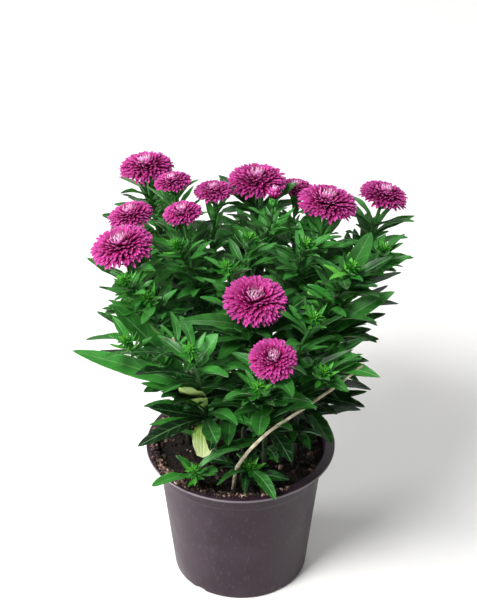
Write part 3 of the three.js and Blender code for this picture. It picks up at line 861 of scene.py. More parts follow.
@dataclass(frozen=True)
class Arc:
    """A cubic curve: its start, its two handles and its end."""

    points: tuple[Array, Array, Array, Array]
    reach_share: float = 0.38

    @classmethod
    def between(cls, start: Array, leaving: Array, end: Array, arriving: Array) -> "Arc":
        """The curve that leaves its start along one direction and arrives along another."""
        reach = np.linalg.norm(end - start) * cls.reach_share
        return cls((start, start + leaving * reach, end - arriving * reach, end))

    def at(self, share: float | Array) -> Array:
        """Finds the point, or points, at one or more shares of the curve.

        Args:
            share: The shares.

        Returns:
            The points.
        """
        t = np.asarray(share, float)[..., None]
        a, b, c, d = self.points
        return a * (1 - t) ** 3 + 3 * b * t * (1 - t) ** 2 + 3 * c * t * t * (1 - t) + d * t ** 3

    def heading(self, share: float | Array) -> Array:
        """Finds the direction, or directions, at one or more shares of the curve.

        Args:
            share: The shares.

        Returns:
            The directions.
        """
        t = np.asarray(share, float)[..., None]
        a, b, c, d = self.points
        return unit((b - a) * (1 - t) ** 2 + 2 * (c - b) * t * (1 - t) + (d - c) * t * t)


# The shape of one leaf.


@dataclass(frozen=True)
class LeafForm:
    """A lance-shaped blade: folded along its midrib, arched, with waved margins and a thin edge."""

    # Where its rings of points are, along it and across it, in shares.
    stations: tuple[float, ...] = (0.02, 0.08, 0.15, 0.23, 0.32, 0.41, 0.5, 0.59, 0.68, 0.77, 0.85, 0.92,
                                   0.97)
    places: tuple[float, ...] = (-1, -0.74, -0.42, -0.12, 0, 0.12, 0.42, 0.74, 1)
    fold: float = 0.26
    # The long waves and the short crimps of its margin: their height in shares of the blade's width,
    # and how many there are along it.
    ripple: float = 0.06
    ripples: float = 1.5
    crimp: float = 0.035
    crimps: float = 3.4
    # The stalk's width in shares of the blade's.
    stalk: float = 0.17
    thickness: float = 0.42
    rib: float = 0.55
    groove: float = 0.22
    rib_width: float = 0.13
    # How sharply the waves grow towards the margin, and the fold towards the midrib.
    wave_power: float = 1.6
    fold_power: float = 1.35
    # How deep in its stem it starts, in millimetres.
    sunk: float = 0.6
    sway: float = 0.035
    twist: float = 9.0
    # A peak over 1 is nearer the tip. A low fullness gives blunt ends.
    peak: float = 1.1
    fullness: float = 0.74

    def half_width(self, width: float, share: Array) -> Array:
        """Half the blade's width at shares of its length, with a narrow stalk at its foot."""
        blade = np.sin(math.pi * share ** self.peak) ** self.fullness
        return width / 2 * np.maximum(blade, self.stalk * (1 - share))

    def add(self, draft: MeshDraft, root: Array, tip: Array, face: Array,
            blade: "Blade") -> None:
        """Adds the blade.

        Args:
            draft: Its piece.
            root: Where it starts, inside its stem.
            tip: Where it ends.
            face: The direction that its face looks.
            blade: Its width, arch, phase and paint.
        """
        s = np.array(self.stations)[:, None]
        u = np.array(self.places)[None, :]
        length = np.linalg.norm(tip - root)
        along = (tip - root) / length
        up = unit(face - along * np.dot(face, along))
        side = np.cross(along, up)
        drift = self.sway * math.sin(blade.phase * 3) * length * np.sin(math.pi * s)
        middle = root + along * length * s + up * (blade.arch * length * 4 * s * (1 - s)) + side * drift
        normal = unit(up - along * (4 * blade.arch * (1 - 2 * s)))
        turn = math.radians(self.twist) * math.sin(blade.phase * 2) * (s - 0.5) * 2
        aside = side * np.cos(turn) + normal * np.sin(turn)
        normal = unit(np.cross(aside, along))
        half = self.half_width(blade.width, s)
        right = np.where(u > 0, 1, 0)
        wave = self.ripple * blade.width * np.sin(TURN * self.ripples * s + blade.phase + 2 * right)
        crimp = self.crimp * blade.width * np.sin(TURN * self.crimps * s + 2.3 * blade.phase + right)
        dip = self.fold * half
        edge = np.abs(u)
        lift = (wave + crimp * edge) * edge ** self.wave_power * (half / half.max())
        lift = lift - dip * (1 - edge ** self.fold_power)
        ribbed = np.exp(-(u / self.rib_width) ** 2) * (1 - s)
        top = lift - self.groove * ribbed
        under = lift - (self.thickness + self.rib * ribbed) * np.clip(1 - edge ** 4, 0.0, 1.0)
        spread = middle[:, None] + aside[:, None] * (u * half)[..., None]
        upper = spread + normal[:, None] * top[..., None]
        lower = spread + normal[:, None] * under[..., None]
        rings = np.concatenate([upper, lower[:, -2:0:-1]], axis=1)
        count = len(self.places)
        across = np.concatenate([u[0], u[0, -2:0:-1]])
        backs = np.arange(2 * count - 2) >= count - 1
        first = root - along * self.sunk
        draft.loft(rings, first, tip, across, backs, blade.paint, np.array(self.stations))


LANCE_LEAF = LeafForm()
SMALL_LEAF = LeafForm(stations=(0.03, 0.12, 0.26, 0.42, 0.58, 0.74, 0.88, 0.96),
                      places=(-1, -0.55, 0, 0.55, 1), groove=0.1, rib=0.4)
BLUNT_LEAF = LeafForm(peak=1.55, fullness=0.62, fold=0.2)
OVATE_LEAF = LeafForm(peak=0.72, fullness=0.95, stalk=0.08)
WITHERED_LEAF = LeafForm(peak=2.1, fullness=0.34, stalk=0.35, crimp=0.1, crimps=5.0, fold=0.1)


# The plan of the plant, as its solids have it.


@dataclass(frozen=True)
class StemForm:
    """A round stem that tapers from its foot to its end, in straight steps in the solids."""

    thick: float
    thin: float
    steps: int

    def radius(self, share: float | Array) -> float | Array:
        """The radius at a share of the stem."""
        return self.thick + (self.thin - self.thick) * share

    def middle(self, curve: Arc, share: float) -> Array:
        """Finds the middle of the solid stem, which is straight between its steps.

        Args:
            curve: The stem's curve.
            share: The share of the stem.

        Returns:
            The point.
        """
        step = min(math.floor(share * self.steps), self.steps - 1)
        low, high = curve.at(step / self.steps), curve.at((step + 1) / self.steps)
        return low + (high - low) * (share * self.steps - step)


MAIN = StemForm(1.9, 1.15, 5)
TWIG = StemForm(1.05, 0.85, 3)
# The height of the soil at the pot's wall, the height where a stem leaves the soil, and how far the
# stem goes down from there.
SOIL_EDGE = 93.5
GROUND = SOIL_EDGE + 3.0
BURIED = UPWARD * (3.0 + 8.0)
BUD_LEAN = 24.0
CUP_GAP, CUP_HEIGHT, CUP_OVERLAP = 0.3, 6.5, 1.0
# How far up a head's dome its middle is, in shares of its radius.
MIDDLE_HEIGHT = 0.34


@dataclass(frozen=True)
class Head:
    """A flower head: the middle of its dome, its radius, and its lean outwards in degrees."""

    at: Triple
    radius: float
    lean: float

    @property
    def axis(self) -> Array:
        """The direction that the head faces."""
        return leaning_axis(self.at, self.lean)

    @property
    def foot(self) -> Array:
        """The bottom of the head, on its green cup."""
        return np.array(self.at, float) - self.axis * MIDDLE_HEIGHT * self.radius

    def path(self, radial: Array, *places: Pair) -> tuple[Array, ...]:
        """Finds points beside the head's axis.

        Args:
            radial: The direction out from the axis.
            places: How far out and up each point is, in shares of the head's radius.

        Returns:
            The points.
        """
        return tuple(self.foot + (radial * out + self.axis * up) * self.radius for out, up in places)


HEADS: dict[str, Head] = {
    "bloom_01": Head((-64, 80, 277), 18.5, 8),
    "bloom_02": Head((-45, 45, 284), 12.5, 12),
    "bloom_03": Head((-73, 35, 265), 15.5, 14),
    "bloom_04": Head((-76.5, -10, 269), 20.5, 12),
    "bloom_05": Head((-38, 15, 278), 13, 10),
    "bloom_06": Head((-18, 45, 277), 13, 6),
    "bloom_07": Head((11, 68, 273), 20.5, 4),
    "bloom_08": Head((22, 30, 280), 5, 10),
    "bloom_09": Head((38, 86, 256), 12.5, 10),
    "bloom_10": Head((57, 25, 281), 20, 10),
    "bloom_11": Head((95, 42, 276), 16.5, 16),
    "bloom_12": Head((9, -45, 250), 20.5, 14),
    "bloom_13": Head((20, -85, 232), 15.5, 20),
    "bloom_14": Head((-56, 104, 253), 14, 16),
    "bloom_15": Head((12, 108, 247), 15, 16),
    "bloom_16": Head((60, 88, 244), 13, 16),
}


@dataclass(frozen=True)
class End:
    """What a shoot or twig ends in: a head by its name, a green bud, or a cut stub, at a place."""

    head: str = ""
    bud: Triple | None = None
    stub: Triple | None = None

    def target(self) -> tuple[Array, Array]:
        """Finds where the stem ends.

        Returns:
            The place, and the direction in which the stem gets there.
        """
        if self.head:
            head = HEADS[self.head]
            return head.foot - head.axis * (CUP_GAP + CUP_HEIGHT - CUP_OVERLAP), head.axis
        at = self.bud or self.stub
        return np.array(at, float), leaning_axis(at, BUD_LEAN)


@dataclass(frozen=True)
class Twig:
    """A twig: the share of its shoot that it leaves from, its leaves, and its end."""

    start: float
    leaves: int
    end: End


@dataclass(frozen=True)
class Shoot:
    """A shoot: its name, where it stands, its leaves, its end, its twigs and how bushy it is."""

    name: str
    root: Pair
    leaves: int
    end: End
    twigs: tuple[Twig, ...] = ()
    fresh_leaves: int = 0
    bushy: float = 1.0


SHOOTS: tuple[Shoot, ...] = (
    Shoot("shoot_01", (-20, 30), 13, End("bloom_01"), (Twig(0.58, 2, End("bloom_02")),)),
    Shoot("shoot_02", (-36, 6), 11, End("bloom_04"), (
        Twig(0.5, 2, End("bloom_03")), Twig(0.62, 3, End(bud=(-73, -36, 256))),
        Twig(0.5, 3, End(bud=(-59, -43, 248))))),
    Shoot("shoot_03", (-12, 10), 13, End("bloom_05"), (
        Twig(0.55, 2, End("bloom_06")), Twig(0.62, 3, End(bud=(-41, -8, 265))))),
    Shoot("shoot_04", (2, 34), 13, End("bloom_07"), (Twig(0.6, 2, End("bloom_08")),)),
    Shoot("shoot_05", (22, 24), 13, End("bloom_10"), (
        Twig(0.5, 2, End("bloom_09")), Twig(0.6, 3, End(bud=(42, -2, 262))))),
    Shoot("shoot_06", (38, 6), 15, End("bloom_11"), (Twig(0.62, 3, End(bud=(93, 8, 252))),)),
    Shoot("shoot_07", (2, -10), 13, End("bloom_12"), (
        Twig(0.6, 3, End(bud=(-9, -28, 261))), Twig(0.55, 3, End(bud=(6, 6, 261)))), bushy=0.7),
    Shoot("shoot_08", (16, -32), 11, End("bloom_13"), (
        Twig(0.6, 3, End(bud=(10, -96, 216))), Twig(0.5, 3, End(bud=(46, -60, 244)))), bushy=0.5),
    Shoot("shoot_09", (-22, -24), 12, End(bud=(-31, -84, 236)), (
        Twig(0.5, 3, End(bud=(-72, -60, 226))), Twig(0.66, 0, End(stub=(-42, -66, 233)))),
          bushy=0.3),
    Shoot("shoot_10", (36, -18), 16, End(bud=(71, -22, 257)), (Twig(0.5, 3, End(bud=(52, -74, 212))),),
          fresh_leaves=34),
    Shoot("shoot_11", (-12, 46), 13, End("bloom_14"), (Twig(0.6, 3, End(bud=(-52, 96, 236))),)),
    Shoot("shoot_12", (20, 44), 13, End("bloom_15"), (Twig(0.5, 2, End("bloom_16")),)),
    Shoot("low_shoot_left", (-27, -40), 0, End(bud=(-31, -58, 121))),
    Shoot("low_shoot_front", (1, -33), 3, End(bud=(6, -44, 114))),
)


@dataclass(frozen=True)
class MarkedLeaf:
    """A leaf that stands out by itself: its shoot, where it leaves it, its tip and its shape."""

    on: str
    start: float
    tip: Triple
    width: float
    arch: float
    roll: float
    face: Skin = Skin.LEAF_FACE
    age: float = 0.45
    form: LeafForm = LANCE_LEAF


MARKED_LEAVES: tuple[MarkedLeaf, ...] = (
    MarkedLeaf("shoot_09", 0.66, (-108, -42, 222), 12.5, 0.06, -45, age=0.75),
    MarkedLeaf("shoot_09", 0.5, (-80, -50, 247), 16.5, 0.02, -30, age=0.55, form=BLUNT_LEAF),
    MarkedLeaf("shoot_09", 0.4, (-63, -72, 203), 10, 0.1, -30, age=0.8),
    MarkedLeaf("shoot_07", 0.88, (-43, -68, 256), 10.5, 0.12, -35, age=0.55),
    MarkedLeaf("shoot_09", 0.88, (-14, -76, 243), 14, 0.08, 35, age=0.7),
    MarkedLeaf("shoot_09", 0.34, (-66, -76, 156), 10, 0.16, -25, age=0.25, form=BLUNT_LEAF),
    MarkedLeaf("shoot_09", 0.24, (-56, -70, 162), 7, 0.14, -20, age=0.8),
    MarkedLeaf("shoot_07", 0.7, (36, -52, 256), 17, 0.06, 35, age=0.35, form=BLUNT_LEAF),
    MarkedLeaf("shoot_10", 0.84, (83, -8, 275), 13.5, 0.05, 70, age=0.6, form=BLUNT_LEAF),
    MarkedLeaf("shoot_10", 0.62, (99, -20, 238), 13, 0.08, 40, age=0.65),
    MarkedLeaf("shoot_08", 0.62, (71, -62, 222), 8, 0.08, 30),
    MarkedLeaf("shoot_08", 0.5, (69, -66, 207), 10.5, 0.1, 30),
    MarkedLeaf("shoot_08", 0.4, (45, -88, 210), 9.5, 0.08, 20, age=0.7),
    MarkedLeaf("shoot_10", 0.3, (62, -62, 171), 8.5, 0.12, 30, age=0.2),
    MarkedLeaf("shoot_07", 0.25, (17, -78, 165), 9, 0.12, 0, age=0.3),
    MarkedLeaf("shoot_09", 0.46, (-35, -96, 233), 14, 0.05, 10, Skin.PALE_LEAF, form=OVATE_LEAF),
    MarkedLeaf("shoot_09", 0.3, (-27, -68, 141), 14.5, 0.28, 0, Skin.OLD_LEAF, -0.1, WITHERED_LEAF),
    MarkedLeaf("shoot_09", 0.38, (-2, -76, 173), 10, 0.1, 10, age=0.7),
    MarkedLeaf("shoot_09", 0.3, (14, -76, 169), 8, 0.12, 10, age=0.8),
    MarkedLeaf("shoot_09", 0.2, (-16, -56, 134), 8, 0.12, 20, age=0.15),
    MarkedLeaf("low_shoot_left", 0.6, (-58, -70, 119), 9, 0.1, 0, age=0.7, form=BLUNT_LEAF),
    MarkedLeaf("low_shoot_left", 0.7, (-43, -46, 126), 7, 0.1, 0, age=0.75),
    MarkedLeaf("low_shoot_left", 0.75, (-15, -58, 122), 10, 0.12, 0, age=0.6, form=BLUNT_LEAF),
    MarkedLeaf("low_shoot_left", 0.9, (0, -58, 142), 9, 0.14, 0, age=0.65),
    MarkedLeaf("low_shoot_front", 0.6, (18, -62, 107), 10, 0.12, 0, age=0.15),
)


@dataclass
class Blade:
    """A leaf as planned: where it starts, its direction in degrees, its size and its shape.

    Its give is how far it bends when it has to: 1 for as far as a bend says, 0 for not at all.
    """

    root: Array
    azimuth: float
    rise: float
    length: float
    width: float
    arch: float
    roll: float
    phase: float
    give: float
    smooth_root: Array
    paint: Paint
    form: LeafForm = LANCE_LEAF

    def run(self, turn: float = 0.0, lift: float = 0.0, scale: float = 1.0) -> tuple[Array, float]:
        """Finds the direction and length of the leaf once it is bent.

        Args:
            turn: Degrees that it turns sideways.
            lift: Degrees that it rises.
            scale: The share of its length that it keeps.

        Returns:
            Its direction and its length.
        """
        azimuth = math.radians(self.azimuth + turn * self.give)
        rise = math.radians(self.rise + lift * self.give)
        length = self.length * (1 - (1 - scale) * self.give)
        return direction(azimuth, rise), length


@dataclass(frozen=True)
class LeafPlan:
    """The rule that sizes the leaves, and the bends that keep them clear of their neighbours."""

    # The lengths of the lowest and highest leaves, and how much longer those midway are.
    low: float = 38.0
    high: float = 33.0
    swell: float = 15.0
    slender: float = 0.24
    # The share of a stem where its leaves begin and the share that they take up, also on a twig.
    first: float = 0.2
    run: float = 0.73
    twig_first: float = 0.25
    twig_run: float = 0.6
    # The length of a twig's leaves in shares of a stem's.
    twig_size: float = 0.72
    arch: float = 0.1
    # The rise of the lowest leaves in degrees, and how much more the highest have.
    low_rise: float = 4.0
    more_rise: float = 30.0
    full_height: float = 160.0
    narrowest: float = 5.0
    # How much longer a leaf is that grows out from the plant's middle.
    outward_share: float = 0.12
    # How far chance takes the direction, in degrees, and the length, width and arch, in shares.
    turn_chance: float = 14.0
    rise_chance: float = 12.0
    roll_chance: float = 22.0
    lengths: Pair = (0.85, 1.12)
    widths: Pair = (0.88, 1.15)
    arches: Pair = (0.4, 1.6)
    # The age of the lowest leaves, and how much more the highest have and those on twigs.
    low_age: float = 0.3
    more_age: float = 0.36
    twig_age: float = 0.2
    # The give of a marked leaf, and how near in millimetres a leaf's tip is to the solids' when it is
    # the same leaf.
    marked_give: float = 0.35
    same_place: float = 0.15
    # What a leaf tries in turn: degrees sideways, degrees up, and the share of its length.
    bends: tuple[Triple, ...] = (
        (0, 0, 1), (12, 0, 1), (-12, 0, 1), (0, 12, 1), (0, -12, 1), (22, 8, 0.95), (-22, 8, 0.95),
        (22, -10, 0.92), (-22, -10, 0.92), (0, 26, 0.9), (38, 0, 0.88), (-38, 0, 0.88), (0, -24, 0.85),
        (52, 14, 0.8), (-52, 14, 0.8), (30, 30, 0.75), (-30, 30, 0.75), (70, 0, 0.7), (-70, 0, 0.7),
        (0, 10, 0.55))

    def marked(self, mark: MarkedLeaf, curve: Arc, draw: Draw) -> Blade:
        """Plans a marked leaf, from its shoot to its own tip.

        Args:
            mark: The leaf's row.
            curve: Its shoot's curve.
            draw: The random numbers of the marked leaves.

        Returns:
            The leaf.
        """
        root = MAIN.middle(curve, mark.start)
        run = np.array(mark.tip, float) - root
        length = float(np.linalg.norm(run))
        phase = draw.between(0, TURN)
        back = Skin.LEAF_BACK if mark.face is Skin.LEAF_FACE else mark.face
        paint = Paint(mark.face, back, 0.5 + 0.3 * math.sin(phase), mark.age)
        azimuth = math.degrees(math.atan2(run[1], run[0]))
        rise = math.degrees(math.asin(run[2] / length))
        return Blade(root, azimuth, rise, length, mark.width, mark.arch, mark.roll, phase,
                     self.marked_give, curve.at(mark.start), paint, mark.form)

    def spiral(self, curve: Arc, form: StemForm, leaves: int, draw: Draw) -> list[Blade]:
        """Plans the leaves of one stem in a spiral: level below, longest midway, short and steep above.

        Args:
            curve: The stem's curve.
            form: Whether it is a main stem or a twig.
            leaves: How many leaves it has.
            draw: The random numbers of the shoot.

        Returns:
            The leaves from the lowest to the highest.
        """
        main = form is MAIN
        start = draw.between(0, 360)
        blades = []
        for i in range(leaves):
            rank = i / (leaves - 1) if leaves > 1 else 0.5
            share = self.first + self.run * rank ** 0.9 if main else self.twig_first + self.twig_run * rank
            root = form.middle(curve, share)
            azimuth = start + GOLDEN_ANGLE * i + draw.between(-self.turn_chance, self.turn_chance)
            height = min(max((root[2] - SOIL_EDGE) / self.full_height, 0), 1)
            outward = math.cos(math.radians(azimuth) - math.atan2(root[1], root[0]))
            longest = self.low + (self.high - self.low) * height + self.swell * math.sin(math.pi * height)
            size = longest * (1 - self.outward_share + self.outward_share * outward)
            length = size * draw.between(*self.lengths) * (1 if main else self.twig_size)
            rise = self.low_rise + self.more_rise * height + draw.between(-self.rise_chance, self.rise_chance)
            width = max(length * self.slender * draw.between(*self.widths), self.narrowest)
            arch = self.arch * draw.between(*self.arches)
            roll = draw.between(-self.roll_chance, self.roll_chance)
            phase = draw.between(0, TURN)
            age = self.low_age + self.more_age * height + (0.0 if main else self.twig_age)
            paint = Paint(Skin.LEAF_FACE, Skin.LEAF_BACK, 0.5 + 0.5 * math.sin(5 * phase), age)
            shape = BLUNT_LEAF if math.sin(3 * phase) > 0 else LANCE_LEAF
            blades.append(Blade(root, azimuth, rise, length, width, arch, roll, phase, 1.0,
                                curve.at(share), paint, shape))
        return blades

    def as_grown(self, blade: Blade, grown: KDTree) -> tuple[Array, Array] | None:
        """Finds which bend a leaf has in the solids, by looking for its tip there.

        Args:
            blade: The leaf as planned.
            grown: The points of its shoot's solid.

        Returns:
            Its tip and the direction that its face looks, or nothing if no leaf grew there.
        """
        for turn, lift, scale in self.bends:
            along, length = blade.run(turn, lift, scale)
            tip = blade.root + along * length
            if grown.find(Vector(tip * MM))[2] < self.same_place * MM:
                return tip, self.face_of(along, blade.roll)
        return None

    def face_of(self, along: Array, roll: float) -> Array:
        """Finds the direction that a leaf's face looks, square to the leaf and rolled about it.

        Args:
            along: The direction of the leaf.
            roll: How far it is rolled, in degrees.

        Returns:
            The direction.
        """
        level = unit(np.cross(UPWARD, along))
        up = np.cross(along, level)
        angle = math.radians(roll)
        return up * math.cos(angle) + np.cross(along, up) * math.sin(angle)


# The fine forms.


@dataclass(frozen=True)
class StrapForm:
    """A narrow petal or bract that follows a bent path, hollowed like a gutter."""

    stations: tuple[float, ...]
    breadth: tuple[float, ...]
    gutter: float = 0.18
    thickness: float = 0.28
    places: tuple[float, ...] = (-1, -0.4, 0.4, 1)

    def add(self, draft: MeshDraft, path: tuple[Array, Array, Array], side: Array,
            width: float, paint: Paint) -> None:
        """Adds the strap along a path with one bend.

        Args:
            draft: Its piece.
            path: Its foot, the point that it bends towards, and its tip.
            side: The direction across it.
            width: Its width where it is widest.
            paint: Its tone, age and skins.
        """
        t = np.array(self.stations)[:, None]
        foot, bend, tip = path
        middle = foot * (1 - t) ** 2 + 2 * bend * t * (1 - t) + tip * t * t
        heading = unit((bend - foot) * (1 - t) + (tip - bend) * t)
        normal = unit(np.cross(heading, side))
        u = np.array(self.places)
        half = width / 2 * np.array(self.breadth)[:, None]
        lift = self.gutter * width * u ** 2 * np.ones_like(half)
        spread = middle[:, None] + side * (u * half)[..., None]
        upper = spread + normal[:, None] * lift[..., None]
        lower = spread[:, 1:-1] + normal[:, None] * (lift[:, 1:-1] - self.thickness)[..., None]
        rings = np.concatenate([upper, lower[:, ::-1]], axis=1)
        across = np.concatenate([u, u[-2:0:-1]])
        backs = np.arange(len(across)) >= len(u) - 1
        draft.loft(rings, foot, tip, across, backs, paint, np.array(self.stations))


PETAL = StrapForm((0.0, 0.22, 0.45, 0.65, 0.8, 0.91, 0.975), (0.4, 0.6, 0.84, 1.0, 1.0, 0.8, 0.45))
TUFT_PETAL = StrapForm((0.0, 0.4, 0.7, 0.9), (0.7, 1.0, 1.0, 0.7), 0.25)
LEAFLET = StrapForm((0.0, 0.15, 0.4, 0.65, 0.85, 0.95), (0.35, 0.7, 1.0, 0.9, 0.5, 0.25), 0.16, 0.35)
BRACT = StrapForm((0.0, 0.2, 0.45, 0.7, 0.9), (0.75, 1.0, 0.85, 0.55, 0.2), 0.22, 0.35)


@dataclass(frozen=True)
class TubeForm:
    """A round stem made along a curve, whose ribs are in its material."""

    sides: int
    steps: int
    # How far its closed end stands out, in shares of its radius.
    cap: float = 0.3

    def add(self, draft: MeshDraft, points: Array, headings: Array, radii: Array,
            paint: Paint, ages: Pair) -> None:
        """Adds the tube.

        Args:
            draft: Its piece.
            points: Its middle line.
            headings: Its direction at each point.
            radii: Its radius at each point.
            paint: Its tone and skins.
            ages: Its age at its foot and at its end.
        """
        side, other = across_axis(headings)
        angles = TURN * np.arange(self.sides) / self.sides
        ring = side[:, None] * np.cos(angles)[:, None] + other[:, None] * np.sin(angles)[:, None]
        rings = points[:, None] + ring * radii[:, None, None]
        across = 2 * np.abs(np.linspace(-1, 1, self.sides, endpoint=False))
        last = points[-1] + headings[-1] * radii[-1] * self.cap
        draft.loft(rings, points[0], last, across, np.zeros(self.sides, bool), paint)
        marks = draft.marks[-1]
        marks[:, 3] = ages[0] + (ages[1] - ages[0]) * marks[:, 1]


MAIN_TUBE = TubeForm(10, 18)
TWIG_TUBE = TubeForm(8, 12)


@dataclass(frozen=True)
class DoubleHead:
    """A full double flower head: rings of strap petals on a dome, with a pale tuft in the middle."""

    # The angles of the outermost and innermost rings round the dome, in degrees.
    lowest: float = -16.0
    highest: float = 74.0
    # In shares of the head's radius: the dome's foot and rise, the arch of an outer petal, and how
    # much less an inner one has, so that it curves inwards.
    dome_foot: float = 0.16
    dome_rise: float = 0.48
    arch: float = 0.15
    incurve: float = 0.26
    # How far chance takes a petal: its angle and twist in degrees, its reach, sideways sway and width.
    angle_chance: float = 5.0
    twist_chance: float = 16.0
    reaches: Pair = (0.94, 1.04)
    sway_chance: float = 0.045
    widths: Pair = (0.85, 1.1)
    # A few outer petals hang, by up to this share.
    most_droop: float = 0.2
    tuft_out: float = 0.22
    tuft_width: float = 1.5

    def add(self, draft: MeshDraft, head: Head, draw: Draw) -> None:
        """Adds the petals of a head, from the drooping outer ring to the tuft.

        Args:
            draft: Their piece.
            head: The head's place and size.
            draw: Its random numbers.
        """
        rings = round(6 + head.radius / 5)
        width = 2.05 + 0.022 * head.radius
        outer = round(16 + 1.05 * head.radius)
        offset = draw.between(0, 1)
        for ring in range(rings):
            share = ring / (rings - 1)
            angle = math.radians(self.lowest + (self.highest - self.lowest) * share)
            count = max(7, round(outer * math.cos(angle) ** 0.7))
            offset += 0.5 / count + draw.between(-0.1, 0.1) / count
            for j in range(count):
                self.petal(draft, head, share, angle, offset + j / count, width, draw)
        self.tuft(draft, head, draw)

    def petal(self, draft: MeshDraft, head: Head, share: float, angle: float, turn: float, width: float,
              draw: Draw) -> None:
        """Adds one petal of a ring.

        Args:
            draft: Its piece.
            head: The head's place and size.
            share: How far in its ring is, from 0 at the outermost to 1.
            angle: The height of its tip round the dome, in radians.
            turn: Its place round the head, in turns.
            width: Its width.
            draw: The head's random numbers.
        """
        radial, sideways = spoke(head.axis, TURN * (turn + draw.between(-0.006, 0.006)))
        angle += math.radians(draw.between(-self.angle_chance, self.angle_chance))
        reach = draw.between(*self.reaches)
        droop = draw.between(0, 1) ** 4 * self.most_droop * (1 - share) ** 3
        tip = (reach * math.cos(angle), self.dome_foot + self.dome_rise * math.sin(angle) * reach - droop)
        foot = (0.2 - 0.14 * share, 0.06 + 0.28 * share)
        lift = self.arch - self.incurve * share + draw.between(-0.03, 0.04)
        bend = ((foot[0] + tip[0]) / 2 + 0.1 * share, (foot[1] + tip[1]) / 2 + lift)
        start, middle, end = head.path(radial, foot, bend, tip)
        end = end + sideways * (draw.between(-self.sway_chance, self.sway_chance) * head.radius)
        twist = math.radians(draw.between(-self.twist_chance, self.twist_chance))
        heading = unit(end - start)
        across = sideways * math.cos(twist) + np.cross(heading, sideways) * math.sin(twist)
        paint = Paint(Skin.PETAL_FACE, Skin.PETAL_BACK, draw.between(0, 1), 0.8 * share)
        PETAL.add(draft, (start, middle, end), unit(across), width * draw.between(*self.widths), paint)

    def tuft(self, draft: MeshDraft, head: Head, draw: Draw) -> None:
        """Adds the short upright petals in the middle of a head.

        Args:
            draft: Their piece.
            head: The head's place and size.
            draw: Its random numbers.
        """
        count = round(12 + 0.5 * head.radius)
        for i in range(count):
            out = self.tuft_out * math.sqrt((i + 0.5) / count)
            radial, sideways = spoke(head.axis, math.radians(GOLDEN_ANGLE * i))
            tip = (out * draw.between(0.8, 1.15), draw.between(0.52, 0.66))
            path = head.path(radial, (out * 0.5, 0.3), (out * 1.1, 0.42), tip)
            paint = Paint(Skin.PETAL_FACE, Skin.PETAL_BACK, draw.between(0.6, 1), 1.0)
            TUFT_PETAL.add(draft, path, sideways, self.tuft_width, paint)


@dataclass(frozen=True)
class OpeningHead(DoubleHead):
    """A head that is half open: its petals still stand together, the inner ones higher."""

    # Each layer: its petals, how far out and up they reach in shares of the radius, and their age.
    layers: tuple[tuple[int, float, float, float], ...] = (
        (9, 0.95, 1.1, 0.2), (8, 0.7, 1.55, 0.5), (6, 0.35, 1.8, 0.9))
    petal_width: float = 2.1

    def add(self, draft: MeshDraft, head: Head, draw: Draw) -> None:
        """Adds the upright petals of the opening head.

        Args:
            draft: Their piece.
            head: The head's place and size.
            draw: Its random numbers.
        """
        for level, (count, out, up, age) in enumerate(self.layers):
            for j in range(count):
                turned = TURN * (j + level / 2) / count + draw.between(-0.1, 0.1)
                radial, sideways = spoke(head.axis, turned)
                rise = up * draw.between(0.92, 1.03)
                path = head.path(radial, (0.3, 0.0), (out * 0.9, rise * 0.6), (out * 0.85, rise))
                paint = Paint(Skin.PETAL_FACE, Skin.PETAL_BACK, draw.between(0.3, 1), age)
                PETAL.add(draft, path, sideways, self.petal_width, paint)


